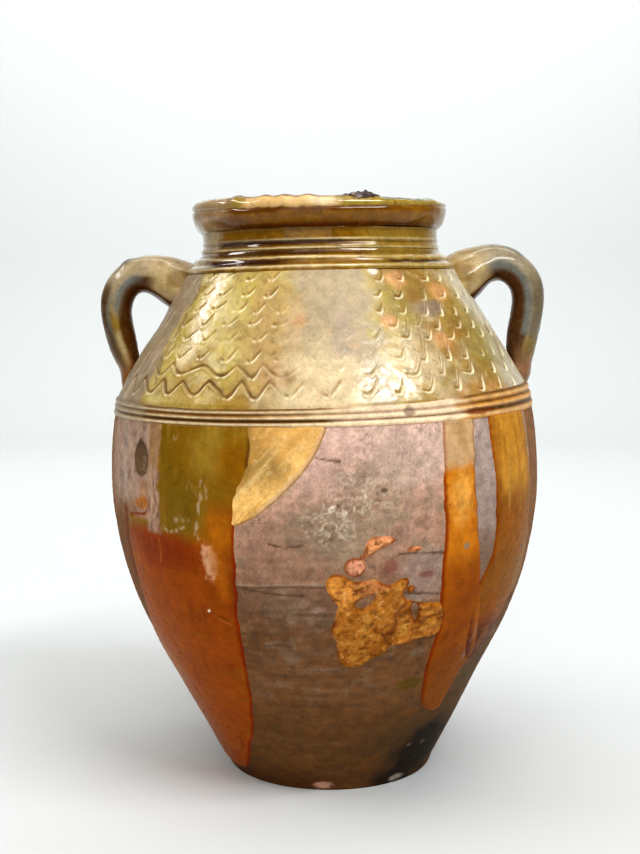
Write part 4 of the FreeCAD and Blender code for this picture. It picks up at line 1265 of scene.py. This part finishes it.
FAR_RIGHT_RUN = (
    (45.3, 330), (45.3, 286), (46.2, 251), (46.4, 222), (47.3, 206), (46.6, 184), (43.5, 168), (42.0, 150),
    (43, 128), (46, 108), (50, 99), (57.2, 104), (59.3, 121), (62.7, 143), (66.8, 157), (68.1, 184),
    (66.1, 205), (65.5, 221), (64.6, 252), (63.7, 286), (63.7, 330),
)
SPLASH = (
    (-0.1, 183.3), (1.6, 187.4), (4.0, 186.0), (5.6, 181.5), (8.0, 180.6), (11.7, 182.3), (13.4, 178.9),
    (15.2, 176.0), (17.2, 179.6), (18.4, 181.6), (20.2, 181.5), (20.8, 176.9), (19.6, 172.2), (18.9, 167.4),
    (21.9, 162.6), (26.3, 159.8), (31.5, 159.0), (32.7, 144.5), (32.5, 132.0), (25.3, 132.4), (21.4, 128.3),
    (17.3, 130.4), (16.2, 123.2), (12.4, 120.0), (8.7, 113.7), (5.2, 113.5), (2.8, 118.8), (2.5, 128.5),
    (2.3, 136.7), (0.5, 143.6), (1.9, 150.2), (2.1, 157.9), (2.9, 162.9), (1.1, 169.4), (-0.3, 175.8),
)
WHITE_DROPS = (
    ((-30.6, 244), (2.2, 6)), ((-31.8, 229), (1.0, 3)), ((-32, 214.5), (1.0, 4)), ((-37.5, 224), (3.5, 4)),
    ((-38.1, 281), (0.8, 2)), ((-34.5, 248), (1.5, 3)),
)
SPLASH_COMET = (
    (9.1, 205.2), (10.3, 212.7), (12.7, 213.0), (15.9, 212.2), (16.8, 209.2), (14.3, 206.0), (11.9, 203.5),
    (9.9, 198.4), (8.6, 199.8),
)
SPLASH_SLIVER = ((21.8, 162), (23.9, 161), (24.2, 153), (23.8, 145), (22.3, 152))
SPLASH_HOLE = (
    (6.8, 164), (7.3, 166.6), (9.4, 169.6), (12.1, 171.5), (12.1, 167.2), (10.5, 163.1), (8.6, 160.2),
    (7.0, 161.5),
)
SPLASH_DROPS = (
    ((6.8, 191.7), (2.7, 6.6)), ((21.5, 202), (2.0, 2.3)), ((21.2, 172.4), (1.0, 3.0)),
    ((8.6, 198.6), (0.8, 2.0)),
)
BACK_LEFT_RUN = (
    (-166, 330), (-166, 285), (-164, 215), (-161, 150), (-158, 96), (-152, 72), (-147, 86), (-143, 150),
    (-137, 205), (-134, 285), (-134, 330),
)
BACK_RIGHT_RUN = (
    (127, 330), (127, 285), (127, 210), (130, 150), (134, 124), (138, 140), (141, 205), (143, 285),
    (143, 330),
)
RUN_OLIVE = (0.29, 0.16, 0.012)
RUN_DARK_OLIVE = (0.24, 0.145, 0.010)
RUN_YELLOW_OLIVE = (0.42, 0.28, 0.05)
RUN_BROWN_OLIVE = (0.33, 0.15, 0.006)
RUN_AMBER = (0.37, 0.092, 0.001)
RUN_ORANGE_RED = (0.30, 0.050, 0.001)
RUN_LOW = (0.33, 0.085, 0.001)
RUN_RED = (0.22, 0.040, 0.001)
RUN_BOTTOM = (0.245, 0.012, 0.001)
RUN_GOLD = (1.0, 0.64, 0.25)
SPLASH_AMBER = (0.51, 0.215, 0.04)
RUN_BEIGE = (0.37, 0.235, 0.08)
RUN_PALE = (0.62, 0.41, 0.23)
CRUST = (0.52, 0.34, 0.24)
WHITE_SPOT = (0.80, 0.66, 0.50)


def run(piece, outline, colours, base=RUN_OLIVE, thickness=1.2, shape=None, step=1.1, reach_up=0.0,
        ramp=3.4, bead_height=0.12, lumps=0.08, ragged=1.0):
    """A pool of glaze on the wall, thickest near its edges, whose rim follows an outline."""
    corners = np.array(outline)
    low_theta, low_z = corners.min(axis=0) - RUN_MARGIN
    high_theta, high_z = corners.max(axis=0) + RUN_MARGIN
    low_z = max(low_z, 1.0)
    high_z = min(high_z + reach_up, BELLY_BAND_LOW + 0.6)
    width = (high_theta - low_theta) * np.radians(1.0) * RUN_MESH_R
    theta = np.linspace(low_theta, high_theta, int(width / step))
    rows = on_wall(np.linspace(low_z, high_z, int((high_z - low_z) / step)))
    points, normal = turned_grid(rows, theta, False)
    theta = np.broadcast_to(theta, points.shape[:2])
    z = points[..., 2]
    depth = inside_by(theta, z, outline)
    if shape is not None:
        depth = shape(theta, z, depth)
    depth = depth + ragged * (0.9 * noise(points, 12, 201) + 0.6 * noise(points, 4, 202))
    bead = 1 + bead_height * hump(depth, 2.8, 2.0)
    height = thickness * smooth(depth, -0.6, ramp) * bead - 0.45 * fade(depth, -1.4, 0.2)
    height += 0.25 * smooth(depth, 2, 5) * noise(points, (22, 22, 50), 203)
    height += lumps * smooth(depth, 0.5, 3) * (noise(points, 6, 204) + 0.8 * noise(points, 2.4, 205))
    relief = smooth(z, 2, 12) * wall_relief(theta, z, points)
    face = points + normal * (relief + height)[..., None]
    back = points + normal * (relief - 1.2)[..., None]
    coat = Coat(theta, z, points, base)
    colours(coat, depth)

    quads = grid_faces(*z.shape, False, False)
    kept = quads[(depth.reshape(-1)[quads] > -2.0).any(axis=1)]
    edges = np.concatenate([kept[:, [k, (k + 1) % 4]] for k in range(4)])
    _, first, counts = np.unique(np.sort(edges, axis=1), axis=0, return_index=True, return_counts=True)
    start, end = edges[first[counts == 1]].T
    walls = np.stack([end, start, start + z.size, end + z.size], axis=1)
    faces = np.concatenate([kept, kept[:, ::-1] + z.size, walls])
    used, compact = np.unique(faces, return_inverse=True)
    points, paint, gloss = (
        np.concatenate([front.reshape(z.size, -1), behind.reshape(z.size, -1)])[used]
        for front, behind in ((face, back), (coat.paint, coat.paint), (coat.gloss, coat.gloss))
    )
    build(piece, "amber_glaze", points, compact.reshape(faces.shape), paint, gloss)


def amber(coat):
    """Olive glaze high up that turns to amber and then red-brown as it runs down."""
    z, lay = coat.z, coat.lay
    uneven = coat.clouds((14, 14, 26), 211)
    lay(RUN_AMBER, fade(z + 9 * uneven, 205, 222))
    lay(RUN_LOW, fade(z + 14 * uneven, 120, 170))
    lay(RUN_RED, fade(z + 12 * uneven, 62, 108))
    lay(RUN_BOTTOM, fade(z + 8 * uneven, 25, 58))


def back_colours(coat, depth):
    z = coat.z
    lay, clouds = coat.lay, coat.clouds
    amber(coat)
    uneven = clouds((16, 16, 34), 261)
    streaks = clouds((5, 5, 40), 262)
    lay(RUN_BROWN_OLIVE, 0.85 * hump(z + 16 * uneven, 216, 26))
    lay(RUN_YELLOW_OLIVE, 0.5 * smooth(streaks, 0.0, 0.7) * smooth(z, 215, 240))
    lay(RUN_DARK_OLIVE, 0.5 * smooth(-streaks, 0.0, 0.7) * smooth(z, 205, 230))
    lay(RUN_RED, 0.45 * smooth(-streaks, 0.1, 0.7) * fade(z, 190, 214))
    lay(RUN_BOTTOM, 0.75 * hump(depth, 0.7, 1.3))


def left_colours(coat, depth):
    theta, z = coat.theta, coat.z
    lay, dab, stroke, clouds = coat.lay, coat.dab, coat.stroke, coat.clouds
    amber(coat)
    uneven = clouds((14, 14, 26), 213)
    small = clouds((5, 5, 7), 212)
    shore = np.interp(theta, (-50, -44, -36, -31, -26, -18), (212, 214, 217, 224, 238, 252)) + 4 * small
    mixed = 14 * smooth(theta, -34, -27)
    olive = smooth(z + 0.4 * mixed * uneven, shore - 3 - mixed, shore + 4 + mixed) * smooth(theta, -51, -49)
    lay(RUN_AMBER, fade(z + 10 * uneven, 150, 180))
    dab(RUN_ORANGE_RED, 0.85, (-47, 199), (14, 14), 0.3 * uneven, 0.4)
    lay(RUN_AMBER, 0.8 * fade(z, 222, 250) * smooth(theta, -31, -27))
    dab((0.52, 0.22, 0.008), 0.55, (-26, 216), (5, 14), 0.3 * small, 0.6)
    lay(RUN_OLIVE, olive)
    streaks = clouds((5, 5, 40), 214)
    lay(RUN_YELLOW_OLIVE, 0.6 * olive * smooth(streaks, 0.0, 0.7))
    lay(RUN_DARK_OLIVE, 0.6 * olive * smooth(-streaks, 0.05, 0.7))
    bands = clouds((30, 30, 3), 217)
    lay(RUN_BROWN_OLIVE, 0.5 * smooth(bands, 0.1, 0.8))
    dab(RUN_YELLOW_OLIVE, 0.6, (-28.5, 270), (5.5, 18), 0.3 * small, 0.5)
    dab(RUN_DARK_OLIVE, 0.85, (-36, 236), (5.5, 20), 0.35 * small, 0.5)
    dab(RUN_DARK_OLIVE, 0.5, (-41, 268), (2.2, 24), 0.35 * small, 0.5)
    dab(RUN_BROWN_OLIVE, 0.85, (-21.5, 264), (4.5, 16), 0.3 * small, 0.5)
    stroke((0.12, 0.05, 0.006), 0.7, ((-17.6, 286), (-17.8, 274), (-18.5, 254)), 1.6, small)
    crust = between(theta + 1.3 * small, -50.5, -49.0, -44.8, -43.6) * smooth(z, 208, 214)
    crust = crust * (1 - 0.45 * smooth(z + 6 * small, 250, 266))
    lay(CRUST, 0.95 * crust)
    speck = clouds((2.0, 2.0, 6), 215, 3)
    lay((0.20, 0.12, 0.09), 0.85 * crust * smooth(-speck, 0.05, 0.45))
    lay((0.72, 0.58, 0.50), 0.8 * crust * smooth(speck, 0.3, 0.8))
    frayed = 0.45 * small + 0.45 * clouds((2.2, 2.2, 3), 218, 2)
    bare = coat.patch((-29.0, 194.0), (2.3, 12.5), frayed, 0.3)
    lay((0.74, 0.42, 0.25), 0.9 * bare)
    drips = coat.trail(((-30.2, 252), (-30.6, 240), (-31.8, 228), (-32.1, 212)), 1.5, 1.2 * small)
    lay(WHITE_SPOT, 0.4 * drips * smooth(speck, -0.1, 0.5))
    for place, half in WHITE_DROPS:
        dab(WHITE_SPOT, 0.4 * smooth(speck, -0.1, 0.5), place, half, 0.6 * small, 0.5)
    line = coat.trail(((-44.2, 215.5), (-41, 212.5), (-38.5, 214), (-35.3, 218.5)), 1.5, 0.8 * small)
    lay(WHITE_SPOT, 0.5 * line * smooth(speck, -0.1, 0.4))
    stroke(CRUST, 0.75, ((-62, 222), (-56, 220.6), (-50, 220.6)), 1.5, 0.5 * small)
    stroke((0.50, 0.17, 0.02), 0.6, ((-45.3, 207), (-45.5, 196), (-46.3, 188)), 0.9)
    scar = ((-31.3, 155.3), (-29.6, 153.6), (-27.6, 151.2), (-26.6, 150.2))
    stroke((0.13, 0.03, 0.001), 0.9, scar, 0.8, 1.1 * small)
    stroke((0.50, 0.17, 0.02), 0.8, ((-29.4, 150.6), (-27.4, 148.6), (-25.9, 147.2)), 0.9)
    dab((0.95, 0.86, 0.68), 1.0, (-32.0, 156.2), (0.4, 1.1))
    dab((0.55, 0.20, 0.01), 0.55, (-26.5, 200), (2.4, 30), 0.3 * small, 0.5)
    lay((0.20, 0.06, 0.003), 0.5 * smooth(theta, -26.5, -23) * fade(z, 196, 216))
    wisps = clouds((7, 7, 50), 216)
    lay(RUN_RED, 0.35 * smooth(wisps, 0.2, 0.8) * fade(z, 190, 214))
    lay((0.48, 0.15, 0.01), 0.4 * smooth(-wisps, 0.2, 0.8) * between(z, 80, 130, 190, 214))
    lay(RUN_BOTTOM, 0.75 * hump(depth, 0.7, 1.3) * fade(z, 226, 240))
    coat.gloss -= 0.5 * np.maximum(crust, bare)


def tongue_colours(coat, depth):
    theta, z = coat.theta, coat.z
    lay, clouds = coat.lay, coat.clouds
    small = clouds((4, 4, 6), 221)
    x = theta * DEGREE
    slanted = np.stack([(x + 0.9 * (290 - z)) / 3.2, (z - 0.3 * x) / 22.0, 0 * z], axis=-1)
    streaks = rough(slanted, (1.0, 1.0, 1.0), 222)
    lay(RUN_BEIGE, 0.8 * fade(theta + 0.25 * (z - 270) + 2 * small, -14, -6) * smooth(z, 240, 262))
    lay((0.66, 0.37, 0.09), 0.55 * smooth(streaks, 0.0, 0.6))
    lay((0.90, 0.68, 0.34), 0.6 * smooth(-streaks, 0.1, 0.7))
    lay((0.60, 0.34, 0.11), 0.55 * smooth(z + 4 * small, 262, 284))
    grains = clouds((2.4, 2.4, 3.0), 223, 2)
    lay((0.50, 0.28, 0.06), 0.5 * smooth(grains, 0.2, 0.8))
    lay((0.96, 0.80, 0.50), 0.65 * smooth(-grains, 0.3, 0.9))
    lay((0.52, 0.30, 0.07), 0.4 * smooth(small, 0.3, 0.9))
    lay((0.72, 0.47, 0.30), 0.75 * hump(depth, 2.0, 1.2) * smooth(theta, -20, -14))
    lay((0.30, 0.19, 0.04), 0.6 * fade(theta, -18.5, -16.4) * smooth(z, 245, 262))
    lay((0.20, 0.10, 0.05), 0.75 * hump(depth, 0.3, 0.8))
    coat.gloss[:] = 0.7


def right_colours(coat, depth):
    theta, z = coat.theta, coat.z
    lay, dab, stroke, clouds = coat.lay, coat.dab, coat.stroke, coat.clouds
    amber(coat)
    uneven = clouds((9, 9, 20), 231)
    small = clouds((4, 4, 5), 232)
    lay((0.30, 0.095, 0.003), fade(z, 100, 150))
    lay((0.42, 0.135, 0.005), smooth(z + 9 * uneven, 105, 150))
    lay((0.62, 0.235, 0.018), smooth(z + 9 * uneven, 176, 205))
    dab((0.84, 0.46, 0.12), 0.75, (34.5, 236), (3.4, 17), 0.5 * small, 0.6)
    lay((0.40, 0.12, 0.005), 0.5 * smooth(clouds((3, 3, 7), 234), 0.2, 0.7) * fade(z, 248, 256))
    lay((0.28, 0.05, 0.001), 0.9 * hump(depth, 0.9, 1.3) * fade(theta, 33, 36) * fade(z, 248, 258))
    lay(RUN_PALE, smooth(z + 3 * small, 253, 262))
    lay((0.48, 0.30, 0.13), 0.6 * smooth(clouds((4, 4, 24), 233), 0.0, 0.6) * smooth(z, 255, 265))
    dab((0.30, 0.26, 0.20), 0.9, (36.5, 199.5), (0.9, 2.2), 0.4 * small)
    dab(RUN_RED, 0.4, (38.5, 150), (5, 36), 0.4 * uneven, 0.6)
    stroke(CLAY_LILAC, 0.35, ((45.5, 176), (47.5, 150), (47.8, 128), (46.5, 108)), 2.6, uneven)
    lay(RUN_BOTTOM, 0.5 * hump(depth, 0.5, 0.9))
    coat.gloss -= 0.3 * smooth(z, 253, 262)


def far_right_colours(coat, depth):
    theta, z = coat.theta, coat.z
    lay, clouds = coat.lay, coat.clouds
    amber(coat)
    uneven = clouds((9, 9, 20), 241)
    streaks = clouds((5, 5, 40), 242)
    lay((0.145, 0.028, 0.001), fade(z + 9 * uneven, 118, 150))
    lay((0.31, 0.12, 0.008), smooth(z + 9 * uneven, 120, 170))
    lay((0.36, 0.13, 0.008), 0.8 * smooth(z + 9 * uneven, 175, 205) * fade(z, 215, 240))
    lay((0.61, 0.305, 0.05), smooth(z + 9 * uneven, 222, 245))
    lay((0.34, 0.15, 0.012), 0.55 * smooth(clouds((4, 4, 30), 243), 0.1, 0.7))
    lay((0.66, 0.40, 0.10), 0.5 * smooth(streaks, 0.1, 0.7) * smooth(z, 200, 230))
    lay((0.26, 0.08, 0.006), 0.5 * fade(theta + 0.8 * uneven, 46.8, 49.5) * smooth(z, 160, 190))
    lay((0.32, 0.16, 0.03), 0.6 * smooth(theta + 2 * uneven, 60.5, 64))
    lay(RUN_BOTTOM, 0.5 * hump(depth, 0.5, 0.9))


def splash_colours(coat, depth):
    z = coat.z
    lay, dab, clouds = coat.lay, coat.dab, coat.clouds
    uneven = clouds((9, 9, 9), 251)
    small = clouds((3, 3, 3), 252)
    lay((0.84, 0.39, 0.19), smooth(z + 3 * uneven, 188, 194))
    dab((0.60, 0.27, 0.12), 0.7, (10.5, 177), (4.5, 6), 0.3 * uneven, 0.5)
    dab((0.78, 0.38, 0.25), 1.0, (6.8, 191.7), (3, 7))
    dab((0.80, 0.37, 0.09), 1.0, (2.2, 174), (4.2, 12), 0.3 * uneven)
    dab((0.36, 0.12, 0.008), 0.6, (8, 121), (7, 9), 0.4 * uneven, 0.5)
    lay((0.33, 0.125, 0.010), 0.75 * smooth(uneven, -0.05, 0.5) * fade(z, 150, 170))
    lay((0.62, 0.36, 0.08), 0.55 * smooth(-uneven, 0.1, 0.6) * fade(z, 150, 170))
    bubbles = clouds((2.0, 2.0, 2.0), 254, 2)
    lay((0.15, 0.05, 0.006), 0.8 * smooth(small, 0.1, 0.8))
    lay((0.74, 0.42, 0.12), 0.7 * smooth(-small, 0.15, 0.8))
    lay((0.14, 0.045, 0.006), 0.75 * smooth(bubbles, 0.15, 0.7))
    lay((0.95, 0.70, 0.36), 0.7 * smooth(-bubbles, 0.35, 0.9))
    tall = coat.trail(((20, 163), (17.5, 155), (18, 146), (15, 138), (17, 131)), 1.4, small)
    level = coat.trail(((18, 155), (21, 158), (23.5, 152), (27, 149), (31, 152)), 1.2, small)
    lay((0.20, 0.06, 0.015), 0.7 * np.maximum(tall, level))
    shore = np.clip(0.5 + 0.9 * noise(coat.points, 7, 253), 0.1, 0.95)
    lay((0.22, 0.05, 0.006), shore * hump(depth, 0.4, 1.0))
    coat.gloss[:] = 0.95


def splash_shape(theta, z, depth):
    """The main pool with its comet and round drops, less the bare places in it."""
    depth = np.maximum(depth, inside_by(theta, z, SPLASH_COMET))
    for centre, half in SPLASH_DROPS:
        reach = np.hypot(turn(theta - centre[0]) / half[0], (z - centre[1]) / half[1])
        depth = np.maximum(depth, (1 - reach) * min(half[0] * 2.8, half[1]))
    for bare in (SPLASH_HOLE, SPLASH_SLIVER):
        depth = np.minimum(depth, -inside_by(theta, z, bare))
    return depth


# The plain setting: a pale floor that curves up into a backdrop, a camera and soft lights

def setting():
    bend_y, bend = 2.3, 0.5
    curve = [(-3.0, 0.0), (bend_y, 0.0)]
    for step in range(1, 13):
        angle = math.radians(90 * step / 12)
        curve.append((bend_y + bend * math.sin(angle), bend - bend * math.cos(angle)))
    curve.append((bend_y + bend, 3.4))
    vertices = [(x, y, z) for y, z in curve for x in (-4.5, 4.5)]
    faces = [(2 * i, 2 * i + 1, 2 * i + 3, 2 * i + 2) for i in range(len(curve) - 1)]
    mesh = bpy.data.meshes.new("backdrop")
    mesh.from_pydata(vertices, [], faces)
    mesh.shade_smooth()
    material = bpy.data.materials.new("backdrop")
    material.use_nodes = True
    shader = material.node_tree.nodes["Principled BSDF"]
    shader.inputs["Base Color"].default_value = (0.72, 0.74, 0.74, 1)
    shader.inputs["Roughness"].default_value = 0.9
    mesh.materials.append(material)
    backdrop = bpy.data.objects.new("backdrop", mesh)
    bpy.context.scene.collection.objects.link(backdrop)


# Name, azimuth, elevation, distance, width, height, power, colour and target
JAR_TARGET = (0.0, 0.0, 0.36)
LIGHTS = (
    ("left_window", -92, 38, 2.5, 1.6, 0.28, 13, (0.96, 0.98, 1.0), JAR_TARGET),
    ("right_window", 45, 48, 2.5, 1.6, 0.32, 28, (0.94, 0.97, 1.0), JAR_TARGET),
    ("overhead", 8, 72, 2.2, 2.0, 2.0, 17, (1.0, 0.97, 0.93), JAR_TARGET),
    ("front_fill", -12, 18, 2.8, 2.4, 2.4, 16, (1.0, 0.96, 0.90), JAR_TARGET),
    ("backdrop_glow", 0, 48, 2.3, 3.6, 0.6, 37, (1.0, 1.0, 1.0), (0.0, 2.8, 0.8)),
)


def area_light(name, azimuth, elevation, distance, width, height, power, colour, target):
    """A soft window of light, aimed at its target."""
    light = bpy.data.lights.new(name, "AREA")
    light.shape = "RECTANGLE"
    light.size = width
    light.size_y = height
    light.energy = power
    light.color = colour
    thing = bpy.data.objects.new(name, light)
    a = math.radians(azimuth)
    e = math.radians(elevation)
    towards = np.array([math.sin(a) * math.cos(e), -math.cos(a) * math.cos(e), math.sin(e)])
    thing.location = np.array(target) + distance * towards
    thing.rotation_euler = (math.pi / 2 - e, 0.0, a)
    bpy.context.scene.collection.objects.link(thing)


def camera_and_light():
    camera = bpy.data.cameras.new("camera")
    camera.lens = 54.0
    camera.sensor_width = 36.0
    view = bpy.data.objects.new("camera", camera)
    view.location = (-0.0086, -1.037, 0.379)
    view.rotation_euler = (math.radians(90 - 5.85), 0.0, 0.0)
    bpy.context.scene.collection.objects.link(view)
    bpy.context.scene.camera = view
    for light in LIGHTS:
        area_light(*light)
    world = bpy.data.worlds.new("soft_room")
    world.use_nodes = True
    background = world.node_tree.nodes["Background"]
    background.inputs["Color"].default_value = (1.0, 0.98, 0.95, 1)
    background.inputs["Strength"].default_value = 0.13
    bpy.context.scene.world = world
    bpy.context.scene.view_settings.view_transform = "Standard"
    bpy.context.scene.view_settings.look = "High Contrast"


RUNS = (
    ("glaze_run_left", LEFT_RUN, left_colours, {}),
    ("glaze_tongue", TONGUE, tongue_colours, {"base": RUN_GOLD, "thickness": 1.0, "ragged": 0.4}),
    ("glaze_run_right", RIGHT_RUN, right_colours, {}),
    ("glaze_run_far_right", FAR_RIGHT_RUN, far_right_colours, {}),
    ("glaze_splash", SPLASH, splash_colours, {
        "base": SPLASH_AMBER, "thickness": 1.6, "shape": splash_shape, "step": 0.8, "reach_up": 30,
        "ramp": 2.6, "bead_height": 0.3, "lumps": 0.35, "ragged": 0.5,
    }),
    ("glaze_run_back_left", BACK_LEFT_RUN, back_colours, {"step": 2.0}),
    ("glaze_run_back_right", BACK_RIGHT_RUN, back_colours, {"step": 2.0}),
)

for make_turned in (lower_body, shoulder, belly_band, neck_band, neck, rim, rim_slag):
    make_turned()
handle("left_handle", -1, LEFT_STATIONS)
handle("right_handle", 1, RIGHT_STATIONS)
for piece_name, piece_outline, piece_colours, options in RUNS:
    run(piece_name, piece_outline, piece_colours, **options)
setting()
camera_and_light()
